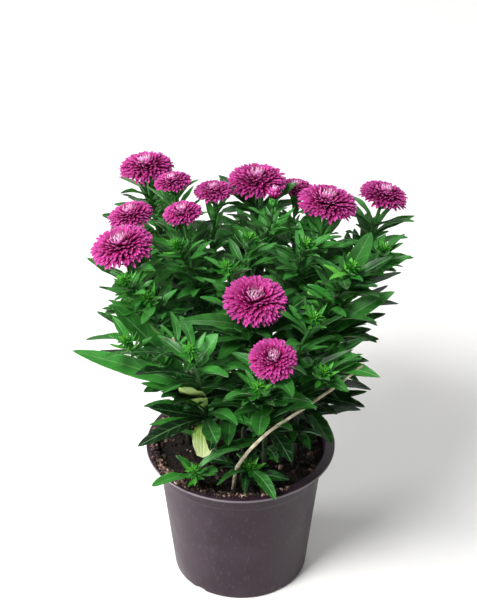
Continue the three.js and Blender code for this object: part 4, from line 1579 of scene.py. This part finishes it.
@dataclass(frozen=True)
class GreenParts:
    """The green cup of bracts below a head, and the spiky green bud that ends a twig."""

    # The cup's turned core: how far up each ring of it is, and how far out, in shares.
    cup_profile: tuple[Pair, ...] = (
        (0.0, 0.35), (0.15, 0.55), (0.35, 0.8), (0.6, 0.95), (0.85, 1.0), (1.0, 0.96))
    # For each ring of the cup's bracts: their number, and how far out their tips stand.
    cup_rings: tuple[tuple[int, Pair], ...] = ((9, (1.15, 1.7)), (9, (1.0, 1.2)))
    cup_bract_width: float = 2.1
    bud_radius: float = 6.5
    # For each ring of the bud's bracts: their number, how far out and up they reach, and their age.
    bud_rings: tuple[tuple[int, float, float, float], ...] = (
        (7, 1.0, 0.2, 0.3), (7, 0.98, 0.5, 0.4), (7, 0.8, 0.82, 0.55), (6, 0.52, 1.02, 0.7),
        (5, 0.2, 1.12, 0.9))
    bud_bract_widths: Pair = (1.5, 1.9)
    collar_leaves: int = 9
    collar_lengths: Pair = (9.0, 14.0)
    collar_widths: Pair = (2.4, 3.2)

    def cup(self, draft: MeshDraft, head: Head, draw: Draw) -> None:
        """Adds the cup: a small turned core, and two rings of pointed bracts on it.

        Args:
            draft: The shoot's piece.
            head: The head that it carries.
            draw: The shoot's random numbers.
        """
        axis = head.axis
        radius = 1.5 + 0.13 * head.radius
        top = head.foot - axis * CUP_GAP
        low = top - axis * CUP_HEIGHT
        points = np.array([low + axis * CUP_HEIGHT * up for up, _ in self.cup_profile])
        radii = np.array([radius * out for _, out in self.cup_profile])
        headings = np.repeat(axis[None], len(radii), axis=0)
        core = Paint(Skin.BRACT, Skin.BRACT, 0.2, 0.2)
        TWIG_TUBE.add(draft, points, headings, radii, core, (0.1, 0.4))
        for level, (count, spreads) in enumerate(self.cup_rings):
            for j in range(count):
                radial, sideways = spoke(axis, TURN * (j + level / 2) / count)
                spread = draw.between(*spreads)
                up, out = 0.15 + 0.25 * level, 0.6 + 0.25 * level
                start = low + axis * CUP_HEIGHT * up + radial * radius * out
                end = top + axis * draw.between(-1.5, 0.3) + radial * radius * spread
                bend = (start + end) / 2 + radial * radius * 0.35
                paint = Paint(Skin.BRACT, Skin.BRACT, draw.between(0, 1), 0.25 + 0.3 * level)
                BRACT.add(draft, (start, bend, end), sideways, self.cup_bract_width, paint)

    def bud(self, draft: MeshDraft, at: Array, axis: Array, draw: Draw) -> None:
        """Adds a bud: rings of pointed bracts that open from a tight green middle.

        Args:
            draft: The shoot's piece.
            at: The end of its stem.
            axis: The direction that it faces.
            draw: The shoot's random numbers.
        """
        foot = at - axis
        for level, (count, out, up, age) in enumerate(self.bud_rings):
            for j in range(count):
                turned = TURN * (j + 0.5 * (level % 2)) / count + draw.between(-0.12, 0.12)
                radial, sideways = spoke(axis, turned)
                reach = self.bud_radius * draw.between(0.82, 1.0)
                start = foot + axis * 0.12 * level * self.bud_radius
                end = foot + radial * reach * out + axis * reach * up
                bend = foot + radial * reach * out * 0.55 + axis * reach * (0.12 + 0.15 * level)
                paint = Paint(Skin.BRACT, Skin.BRACT, draw.between(0, 1), age)
                width = draw.between(*self.bud_bract_widths)
                BRACT.add(draft, (start, bend, end), sideways, width, paint)
        self.collar(draft, foot, axis, draw)

    def collar(self, draft: MeshDraft, foot: Array, axis: Array, draw: Draw) -> None:
        """Adds the loose ring of small leaves that stands out below a bud.

        Args:
            draft: The shoot's piece.
            foot: The bottom of the bud.
            axis: The direction that it faces.
            draw: The shoot's random numbers.
        """
        for j in range(self.collar_leaves):
            radial, sideways = spoke(axis, math.radians(GOLDEN_ANGLE * j))
            start = foot - axis * (1.0 + 0.8 * j)
            length = draw.between(*self.collar_lengths)
            end = start + radial * length * 0.8 + axis * length * draw.between(0.3, 0.75)
            bend = start + radial * length * 0.45 + axis * length * 0.05
            paint = Paint(Skin.BRACT, Skin.LEAF_BACK, draw.between(0, 1), draw.between(0.2, 0.7))
            LEAFLET.add(draft, (start, bend, end), sideways, draw.between(*self.collar_widths), paint)


# The sub-assemblies.


@dataclass
class LeafyShoot:
    """A shoot with all that grew on it: stem, twigs, leaves, small leaves, cups and buds."""

    shoot: Shoot
    index: int
    palette: Palette
    plan: LeafPlan = field(default_factory=LeafPlan)
    green: GreenParts = field(default_factory=GreenParts)
    young_plan: LeafPlan = field(default_factory=lambda: LeafPlan(first=0.1, run=0.83))
    # The young leaves: how many there are for each full-grown one, and how many more a twig has.
    young_share: float = 4.4
    twig_leaves: int = 8
    # Their sizes in shares of a full-grown leaf, how much of that they have at the soil and more above,
    # the height above it where they have all of it, and how much larger they are on a twig.
    young_sizes: Pair = (0.6, 1.05)
    lowest_size: float = 0.55
    more_size: float = 0.45
    leafy_from: float = 60.0
    twig_size: float = 1.2
    young_narrowest: float = 3.6
    # How much lighter a smaller one is.
    small_age: float = 0.3
    # The leaflets: the share of a stem where they begin and the space between them, on a stem and on a
    # twig.
    leaflet_first: Pair = (0.35, 0.2)
    leaflet_last: float = 0.93
    leaflet_space: Pair = (7.0, 5.0)
    leaflet_rises: Pair = (15.0, 55.0)
    leaflet_sizes: Pair = (13.0, 26.0)
    leaflet_widths: Pair = (0.22, 0.3)
    leaflet_arch: float = 0.14
    # The fresh leaves that crowd a fast-growing top.
    fresh_from: float = 0.55
    fresh_run: float = 0.43
    fresh_rises: Pair = (5.0, 50.0)
    fresh_sizes: Pair = (17.0, 27.0)
    fresh_width: float = 0.32
    fresh_arch: float = 0.2
    curves: list[tuple[Arc, StemForm, int, End]] = field(default_factory=list)
    grown: int = 0

    def grow(self) -> None:
        """Works out the curves of the stem and its twigs, as the solids have them."""
        end, axis = self.shoot.end.target()
        ground = np.array([*self.shoot.root, GROUND])
        main = Arc.between(ground, UPWARD, end, axis)
        self.curves = [(main, MAIN, self.shoot.leaves, self.shoot.end)]
        for twig in self.shoot.twigs:
            start = MAIN.middle(main, twig.start)
            end, axis = twig.end.target()
            leaving = unit(main.heading(twig.start) + unit(end - start))
            self.curves.append((Arc.between(start, leaving, end, axis), TWIG, twig.leaves, twig.end))

    def build(self, marks: dict[str, list[Blade]]) -> bpy.types.Object:
        """Builds the shoot in place of its solid.

        Args:
            marks: The marked leaves, by their shoot's name.

        Returns:
            The piece.
        """
        draft = MeshDraft(f"leafy_{self.shoot.name}", "leaf", self.palette)
        draw = Draw(5000 + self.index)
        self.add_stems(draft)
        self.add_ends(draft, draw)
        self.add_leaves(draft, marks.get(self.shoot.name, []))
        self.add_young_leaves(draft)
        self.add_leaflets(draft, draw)
        self.add_fresh_leaves(draft, draw)
        piece = draft.piece()
        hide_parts(self.shoot.name)
        return piece

    def add_stems(self, draft: MeshDraft) -> None:
        """Adds the stem from inside the soil, and the twigs from inside the stem.

        Args:
            draft: The shoot's piece.
        """
        for curve, form, _, end in self.curves:
            tube = MAIN_TUBE if form is MAIN else TWIG_TUBE
            share = np.linspace(0, 1, tube.steps)
            points, headings, radii = curve.at(share), curve.heading(share), form.radius(share)
            if form is MAIN:
                points = np.concatenate([points[:1] - BURIED, points])
                headings = np.concatenate([UPWARD[None], headings])
                radii = np.concatenate([radii[:1], radii])
            skin = Skin.STRAW if end.stub else Skin.STEM
            ages = (0.0, 0.75) if form is MAIN else (0.4, 0.9)
            tube.add(draft, points, headings, radii, Paint(skin, skin), ages)

    def add_ends(self, draft: MeshDraft, draw: Draw) -> None:
        """Adds a cup below each head and a bud on each other end but a cut stub.

        Args:
            draft: The shoot's piece.
            draw: The shoot's random numbers.
        """
        for _, _, _, end in self.curves:
            at, axis = end.target()
            if end.head:
                self.green.cup(draft, HEADS[end.head], draw)
            elif end.bud:
                self.green.bud(draft, at, axis, draw)

    def add_leaves(self, draft: MeshDraft, marked: list[Blade]) -> None:
        """Adds every leaf that grew in the solids, at the bend that it has there.

        Args:
            draft: The shoot's piece.
            marked: The shoot's marked leaves.
        """
        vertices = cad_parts[self.shoot.name].data.vertices
        tree = KDTree(len(vertices))
        for number, vertex in enumerate(vertices):
            tree.insert(vertex.co, number)
        tree.balance()
        draw = Draw(3000 + self.index)
        spiral = [blade for curve, form, leaves, _ in self.curves
                  for blade in self.plan.spiral(curve, form, leaves, draw)]
        for blade in marked + spiral:
            place = self.plan.as_grown(blade, tree)
            if place:
                tip, face = place
                blade.form.add(draft, blade.smooth_root, tip, face, blade)
                self.grown += 1
        LOG.info("%s: %d of %d leaves", self.shoot.name, self.grown, len(marked) + len(spiral))

    def add_young_leaves(self, draft: MeshDraft) -> None:
        """Adds the shorter leaves that fill the shoot between its full-grown ones.

        Args:
            draft: The shoot's piece.
        """
        draw = Draw(4000 + self.index)
        for curve, form, leaves, _ in self.curves:
            count = leaves * self.young_share + (0 if form is MAIN else self.twig_leaves)
            count = round(count * self.shoot.bushy)
            for blade in self.young_plan.spiral(curve, form, count, draw):
                along, length = blade.run()
                above = min(max((blade.root[2] - SOIL_EDGE) / self.leafy_from, 0), 1)
                size = draw.between(*self.young_sizes) * (self.lowest_size + self.more_size * above)
                size = size * (1.0 if form is MAIN else self.twig_size)
                blade.width = max(blade.width * size, self.young_narrowest)
                blade.paint.age += self.small_age * (0.8 - size)
                tip = blade.smooth_root + along * length * size
                SMALL_LEAF.add(draft, blade.smooth_root, tip, self.plan.face_of(along, blade.roll), blade)

    def add_leaflets(self, draft: MeshDraft, draw: Draw) -> None:
        """Adds the small narrow leaves that stand close along the upper stem and the twigs.

        Args:
            draft: The shoot's piece.
            draw: The shoot's random numbers.
        """
        for curve, form, _, _ in self.curves:
            length = float(np.linalg.norm(curve.points[3] - curve.points[0]))
            kind = 0 if form is MAIN else 1
            first = self.leaflet_first[kind]
            count = round(length * (1 - first) / self.leaflet_space[kind])
            start = draw.between(0, 360)
            for i in range(count):
                share = first + (self.leaflet_last - first) * i / max(count - 1, 1)
                rise = math.radians(draw.between(*self.leaflet_rises))
                run = direction(math.radians(start + GOLDEN_ANGLE * i), rise)
                size = draw.between(*self.leaflet_sizes) * (1.15 - 0.4 * share)
                paint = Paint(Skin.LEAF_FACE, Skin.LEAF_BACK, draw.between(0, 1), 0.35 + 0.5 * share)
                width = size * draw.between(*self.leaflet_widths)
                self.leaflet(draft, curve.at(share), run, size, width, self.leaflet_arch, paint)

    def leaflet(self, draft: MeshDraft, root: Array, run: Array, size: float, width: float,
                arch: float, paint: Paint) -> None:
        """Adds one arched leaflet.

        Args:
            draft: The shoot's piece.
            root: Where it leaves its stem.
            run: Its direction.
            size: Its length.
            width: Its width.
            arch: How far it arches up, in shares of its length.
            paint: Its tone, age and skins.
        """
        side = unit(np.cross(UPWARD, run))
        bend = root + run * size * 0.5 + np.cross(run, side) * size * arch
        LEAFLET.add(draft, (root, bend, root + run * size), side, width, paint)

    def add_fresh_leaves(self, draft: MeshDraft, draw: Draw) -> None:
        """Adds the bright leaves that crowd the top of a shoot that is growing fast.

        Args:
            draft: The shoot's piece.
            draw: The shoot's random numbers.
        """
        curve = self.curves[0][0]
        for i in range(self.shoot.fresh_leaves):
            share = self.fresh_from + self.fresh_run * i / self.shoot.fresh_leaves
            run = direction(math.radians(GOLDEN_ANGLE * i), math.radians(draw.between(*self.fresh_rises)))
            size = draw.between(*self.fresh_sizes) * (1.35 - 0.6 * share)
            paint = Paint(Skin.BRACT, Skin.LEAF_BACK, draw.between(0, 1), draw.between(0.3, 0.9))
            width = size * self.fresh_width
            self.leaflet(draft, curve.at(share), run, size, width, self.fresh_arch, paint)


@dataclass
class FlowerHead:
    """One flower head, on the cup that its shoot holds up."""

    name: str
    index: int
    palette: Palette
    half_open_radius: float = 6.5

    def build(self) -> bpy.types.Object:
        """Builds the head in place of its solid.

        Returns:
            The piece.
        """
        head = HEADS[self.name]
        form = OpeningHead() if head.radius < self.half_open_radius else DoubleHead()
        draft = MeshDraft(f"double_{self.name}", "petal", self.palette)
        form.add(draft, head, Draw(7000 + self.index))
        piece = draft.piece()
        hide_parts(self.name)
        return piece


@dataclass
class DryStalk:
    """The dry flower stalk of last season, which leans over the front of the plant."""

    palette: Palette
    root: Pair = (-5, -44)
    route: tuple[Triple, ...] = (
        (-2, -48, 118), (16, -66, 158), (36, -72, 180), (60, -66, 196), (77, -64, 211))
    thick: float = 1.3
    thin: float = 0.8
    steps: int = 10
    # The old nodes: how far they stand out, how many there are, and how long each is.
    knob: float = 0.22
    knobs: int = 7
    knob_length: float = 0.06

    def middle_line(self) -> Array:
        """Finds the stalk's middle line, smooth through the points of its route.

        Returns:
            Points close together along it.
        """
        knots = np.array([(*self.root, GROUND), *self.route], float)
        padded = np.concatenate([2 * knots[:1] - knots[1:2], knots, 2 * knots[-1:] - knots[-2:-1]])
        line = []
        for a, b, c, d in zip(padded, padded[1:], padded[2:], padded[3:]):
            t = np.linspace(0, 1, self.steps, endpoint=False)[:, None]
            reach = np.linalg.norm(c - b)
            leaving, arriving = unit(c - a) * reach / 3, unit(d - b) * reach / 3
            line.append(Arc((b, b + leaving, c - arriving, c)).at(t[:, 0]))
        return np.concatenate([*line, knots[-1:]])

    def build(self) -> bpy.types.Object:
        """Builds the stalk in place of its solid, with its worn nodes.

        Returns:
            The piece.
        """
        line = self.middle_line()
        line = np.concatenate([line[:1] - BURIED, line])
        headings = unit(np.gradient(line, axis=0))
        share = np.linspace(0, 1, len(line))
        knobs = self.knob * np.exp(-((share * self.knobs % 1 - 0.5) / self.knob_length) ** 2)
        radii = self.thick + (self.thin - self.thick) * share + knobs
        draft = MeshDraft("dry_flower_stalk", "straw", self.palette)
        TubeForm(10, len(line)).add(draft, line, headings, radii, Paint(Skin.STRAW, Skin.STRAW), (0, 1))
        piece = draft.piece()
        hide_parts("dry_stalk")
        return piece


@dataclass
class NurseryPot:
    """A thin tapering pot with a wider collar, a flat flange and drainage notches in its foot."""

    palette: Palette
    sides: int = 160
    # The notches: their number, how deep, wide and high each is, where the first is in degrees, and
    # how far out they are.
    notches: int = 5
    notch_size: Triple = (8, 10, 6)
    first_notch: float = 233.0
    foot: float = 46.5
    # A wall longer than this gets this many rings between its corners.
    long_wall: float = 20.0
    wall_rings: int = 10
    # Each corner of the turned outline: how far out, how far up, and the radius that rounds it.
    corners: tuple[Triple, ...] = (
        (0, 0, 0), (46.5, 0, 2.0), (56, 87.5, 2.0), (58.5, 88.5, 1.2), (59.5, 100.3, 0.7),
        (65, 100.3, 0.6), (65, 102, 0.7), (58, 102, 0.9), (57, 90, 1.5), (54.5, 89, 1.5), (45, 1.5, 1.5),
        (0, 1.5, 0))

    def outline(self, steps: int = 5) -> list[Pair]:
        """Finds the turned outline, with its corners rounded.

        Args:
            steps: How many steps round a corner.

        Returns:
            Places out and up, from the middle of the base to the middle of the floor inside.
        """
        made = []
        last = len(self.corners) - 1
        for i, (out, up, radius) in enumerate(self.corners):
            here = np.array([out, up], float)
            if i in (0, last):
                made.append((out, up))
                continue
            before, after = (np.array(self.corners[k][:2], float) for k in (i - 1, i + 1))
            reach = min(radius, 0.45 * np.linalg.norm(before - here), 0.45 * np.linalg.norm(after - here))
            start, end = here + unit(before - here) * reach, here + unit(after - here) * reach
            for t in np.linspace(0, 1, steps):
                made.append(tuple(start * (1 - t) ** 2 + 2 * here * t * (1 - t) + end * t * t))
            if np.linalg.norm(after - here) > self.long_wall:
                far = after + unit(here - after) * self.corners[i + 1][2]
                shares = np.linspace(0, 1, self.wall_rings + 2)[1:-1]
                made.extend(tuple(end + (far - end) * t) for t in shares)
        return made

    def turned(self) -> bpy.types.Object:
        """Turns the outline into a closed shell.

        Returns:
            The shell without its notches.
        """
        outline = self.outline()
        rings = np.array([[(x, y, up) for x, y in ring_places(out, self.sides)] for out, up in outline[1:-1]])
        first, last = (np.array([0.0, 0.0, outline[k][1]]) for k in (0, -1))
        draft = MeshDraft("nursery_pot", "pot", self.palette)
        draft.loft(rings, first, last, np.zeros(self.sides), np.zeros(self.sides, bool),
                   Paint(Skin.POT, Skin.POT))
        return draft.piece()

    def build(self) -> bpy.types.Object:
        """Builds the pot in place of its solid.

        Returns:
            The piece.
        """
        pot = self.turned()
        deep, wide, high = (s * MM for s in self.notch_size)
        for i in range(self.notches):
            angle = math.radians(self.first_notch + 360 / self.notches * i)
            notch = self.notch_block(deep, wide, high, angle)
            cut = pot.modifiers.new("notch", "BOOLEAN")
            cut.operation = "DIFFERENCE"
            cut.solver = "EXACT"
            cut.object = notch
            shaped = bpy.data.meshes.new_from_object(pot.evaluated_get(bpy.context.evaluated_depsgraph_get()))
            pot.modifiers.clear()
            pot.data = shaped
            bpy.data.objects.remove(notch)
        pot.data.set_sharp_from_angle(angle=SHARP_ANGLE)
        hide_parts("pot")
        return pot

    def notch_block(self, deep: float, wide: float, high: float, angle: float) -> bpy.types.Object:
        """Makes a block with an arched top that cuts one notch.

        Args:
            deep: How far it reaches through the wall, in metres.
            wide: Its width.
            high: Its height, half of it below the base.
            angle: Its place round the foot, in radians.

        Returns:
            The block.
        """
        arc = [(wide / 2 * math.cos(a), high / 2 * math.sin(a)) for a in np.linspace(0, math.pi, 9)]
        section = [(wide / 2, -high / 2), *arc, (-wide / 2, -high / 2)]
        out = self.foot * MM
        across = np.array([-math.sin(angle), math.cos(angle), 0])
        outward = np.array([math.cos(angle), math.sin(angle), 0])
        points = [outward * (out + step * deep / 2) + across * x + UPWARD * z
                  for step in (-1, 1) for x, z in section]
        n = len(section)
        faces = [list(range(n))[::-1], list(range(n, 2 * n))]
        faces += [[i, (i + 1) % n, n + (i + 1) % n, n + i] for i in range(n)]
        mesh = bpy.data.meshes.new("notch")
        mesh.from_pydata(points, [], faces)
        return link("notch", mesh)


@dataclass
class SoilBed:
    """The soil: one body that fills the pot to below its rim, with a rough crumbly top."""

    palette: Palette
    # How high the middle stands, the waves on it, and the fine roughness with the width of its lumps.
    mound: float = 2.5
    relief: float = 1.1
    rough: float = 1.3
    lump: float = 4.0
    sides: int = 168
    rings: int = 46
    # The crumbs on the soil: their number, how far out they lie, and how many are of pale bark.
    crumbs: int = 620
    strewn_to: float = 0.97
    bark_share: float = 0.05
    # The crumbs on the flange: their number, the angle of their middle and how far round they reach in
    # degrees, how far out they lie, how much less at the ends, the flange's height, and their bark.
    spilled: int = 520
    spill_middle: float = 215.0
    spill_reach: float = 90.0
    spill_out: Pair = (57.4, 64.4)
    spill_narrowing: float = 3.5
    flange_top: float = 102.0
    spill_bark_share: float = 0.07
    # One crumb: its sides, and for each ring of it, how far up and out it is in shares of its radius.
    crumb_sides: int = 6
    crumb_rings: tuple[Pair, ...] = ((-0.45, 0.75), (0.05, 1.0), (0.5, 0.7))
    crumb_end: float = 0.75
    # The inside of the pot, less a gap of 0.3 mm: how far out and how far up.
    wall: tuple[Pair, ...] = ((44.7, 1.8), (54.2, 89.5), (56.6, 90.2), (56.95, 93.5))

    def top(self, x: float, y: float, share: float) -> float:
        """Finds the height of the soil at a place.

        Args:
            x: How far right the place is.
            y: How far back it is.
            share: How far out it is, in shares of the way to the wall.

        Returns:
            The height.
        """
        waves = math.sin(0.31 * x + 1.3) * math.cos(0.27 * y) + 0.6 * math.sin(0.53 * y - 0.41 * x)
        swell = SOIL_EDGE + (self.mound + self.relief * waves) * (1 - share * share)
        rough = noise.fractal(Vector((x, y, 0)) / self.lump, 0.8, 2.1, 4) * self.rough
        return swell + rough * min(1.0, 6 * (1 - share)) + 0.4 * rough

    def build(self) -> bpy.types.Object:
        """Builds the soil in place of its solid.

        Returns:
            The piece.
        """
        rings = [[(x, y, up) for x, y in ring_places(out, self.sides)] for out, up in self.wall[:-1]]
        edge = self.wall[-1][0]
        for i in range(self.rings):
            share = 1 - i / self.rings
            rings.append([(x, y, self.top(x, y, share)) for x, y in ring_places(edge * share, self.sides)])
        draft = MeshDraft("potting_soil", "soil", self.palette)
        draft.loft(np.array(rings), np.array([0, 0, self.wall[0][1]]), np.array([0, 0, self.top(0, 0, 0)]),
                   np.zeros(self.sides), np.zeros(self.sides, bool), Paint(Skin.SOIL, Skin.SOIL, 0.2, 0.0))
        self.add_crumbs(draft)
        piece = draft.piece()
        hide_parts("soil")
        return piece

    def add_crumbs(self, draft: MeshDraft) -> None:
        """Strews crumbs over the soil, and a few on the pot's flange.

        Args:
            draft: The soil's piece.
        """
        draw = Draw(9001)
        edge = self.wall[-1][0]
        for _ in range(self.crumbs):
            share = math.sqrt(draw.next()) * self.strewn_to
            angle = draw.between(0, TURN)
            x, y = edge * share * math.cos(angle), edge * share * math.sin(angle)
            size = 0.7 + 2.3 * draw.next() ** 3
            place = np.array([x, y, self.top(x, y, share) + size * 0.25])
            self.crumb(draft, place, size, (0, 1.4), self.bark_share, draw)
        for _ in range(self.spilled):
            aside = draw.between(-1, 1)
            angle = math.radians(self.spill_middle + self.spill_reach * aside * abs(aside) ** 0.7)
            low, high = self.spill_out
            out = draw.between(low, high - self.spill_narrowing * abs(aside))
            size = 0.5 + 1.6 * draw.next() ** 2 * (1 - 0.5 * abs(aside))
            place = np.array([out * math.cos(angle), out * math.sin(angle), self.flange_top + size * 0.4])
            self.crumb(draft, place, size, (0.2, 1.6), self.spill_bark_share, draw)

    def crumb(self, draft: MeshDraft, place: Array, size: float, tones: Pair,
              bark_share: float, draw: Draw) -> None:
        """Adds one lumpy crumb.

        Args:
            draft: The soil's piece.
            place: Its middle.
            size: Its rough radius.
            tones: The lowest and highest tone that it can have.
            bark_share: How likely it is of pale bark.
            draw: Its random numbers.
        """
        bark = 1.0 if draw.next() > 1 - bark_share else 0.0
        paint = Paint(Skin.SOIL, Skin.SOIL, draw.between(*tones), bark)
        sides = self.crumb_sides
        spin = draw.between(0, TURN)
        stretch = draw.between(0.7, 1.4)
        rings = []
        for up, out in self.crumb_rings:
            row = []
            for k in range(sides):
                angle = TURN * k / sides
                reach = size * out * draw.between(0.75, 1.1)
                x, y = reach * stretch * math.cos(angle), reach * math.sin(angle) / stretch
                row.append((x * math.cos(spin) - y * math.sin(spin), x * math.sin(spin) + y * math.cos(spin),
                            size * up * draw.between(0.8, 1.1)))
            rings.append(row)
        low, high = (place + UPWARD * size * up for up in (-self.crumb_end, self.crumb_end))
        draft.loft(np.array(rings) + place, low, high, np.zeros(sides), np.zeros(sides, bool), paint)


@dataclass
class Studio:
    """The floor, the lights and the camera."""

    palette: Palette
    camera_at: Triple = (-1.4, -1034.0, 890.0)
    pitch: float = 33.0
    lens: float = 112.8
    floor_size: float = 12000.0
    floor_drop: float = 0.05
    lit_height: float = 180.0
    # Each lamp: its name, its place and the length of its side in metres, and its power in watts.
    lamps: tuple[tuple[str, Triple, float, float], ...] = (
        ("key", (-0.9, -1.0, 1.8), 0.8, 60),
        ("side", (-1.7, -0.1, 0.3), 0.8, 46),
        ("fill", (1.3, -1.2, 1.6), 1.6, 2),
        ("back", (0.3, 1.6, 1.5), 1.4, 10),
    )
    surround: float = 0.28

    def build(self) -> None:
        """Lays the floor, lights it and sets the camera."""
        self.lay_floor()
        self.light()
        self.place_camera()

    def lay_floor(self) -> None:
        """Lays a wide plain floor just under the pot."""
        half = self.floor_size / 2 * MM
        low = -self.floor_drop * MM
        mesh = bpy.data.meshes.new("floor")
        corners = [(-half, -half, low), (half, -half, low), (half, half, low), (-half, half, low)]
        mesh.from_pydata(corners, [], [[0, 1, 2, 3]])
        mesh.materials.append(self.palette[Skin.FLOOR])
        floor = link("floor", mesh)

    def area_light(self, name: str, at: Triple, size: float, power: float) -> None:
        """Adds a square area light that looks at the plant.

        Args:
            name: Its name.
            at: Its place, in metres.
            size: The length of its side, in metres.
            power: Its power, in watts.
        """
        lamp = bpy.data.lights.new(name, "AREA")
        lamp.size = size
        lamp.energy = power
        light = link(name, lamp)
        light.location = at
        aim = Vector((0, 0, self.lit_height * MM)) - Vector(at)
        light.rotation_euler = aim.to_track_quat("-Z", "Y").to_euler()

    def light(self) -> None:
        """Lights the plant softly from the upper left, with a weak fill and a pale surround."""
        for lamp in self.lamps:
            self.area_light(*lamp)
        world = bpy.data.worlds.new("pale_surround")
        bpy.context.scene.world = world
        world.use_nodes = True
        surround = world.node_tree.nodes["Background"]
        surround.inputs["Color"].default_value = (1, 1, 1, 1)
        surround.inputs["Strength"].default_value = self.surround
        bpy.context.scene.view_settings.view_transform = "Standard"

    def place_camera(self) -> None:
        """Sets the camera where the photograph was taken from."""
        camera = link("camera", bpy.data.cameras.new("camera"))
        camera.data.lens = self.lens
        camera.location = Vector(self.camera_at) * MM
        camera.rotation_euler = (math.radians(90 - self.pitch), 0, 0)
        bpy.context.scene.camera = camera


def plan_marked_leaves(shoots: list[LeafyShoot]) -> dict[str, list[Blade]]:
    """Plans the marked leaves in their order, since they share one series of random numbers.

    Args:
        shoots: The shoots, with their curves worked out.

    Returns:
        The leaves by their shoot's name.
    """
    draw = Draw(77)
    main_curves = {plant.shoot.name: plant.curves[0][0] for plant in shoots}
    marks: dict[str, list[Blade]] = {}
    for mark in MARKED_LEAVES:
        marks.setdefault(mark.on, []).append(LeafPlan().marked(mark, main_curves[mark.on], draw))
    return marks


def main() -> None:
    """Builds the pot, the soil, the plant and the studio."""
    logging.basicConfig(level=logging.INFO, format="%(message)s")
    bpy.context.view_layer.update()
    palette = Palette()
    NurseryPot(palette).build()
    SoilBed(palette).build()
    DryStalk(palette).build()
    shoots = [LeafyShoot(shoot, index, palette) for index, shoot in enumerate(SHOOTS)]
    for plant in shoots:
        plant.grow()
    marks = plan_marked_leaves(shoots)
    for plant in shoots:
        plant.build(marks)
    for index, name in enumerate(HEADS):
        FlowerHead(name, index, palette).build()
    Studio(palette).build()
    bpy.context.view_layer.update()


if __name__ == "__main__":
    main()
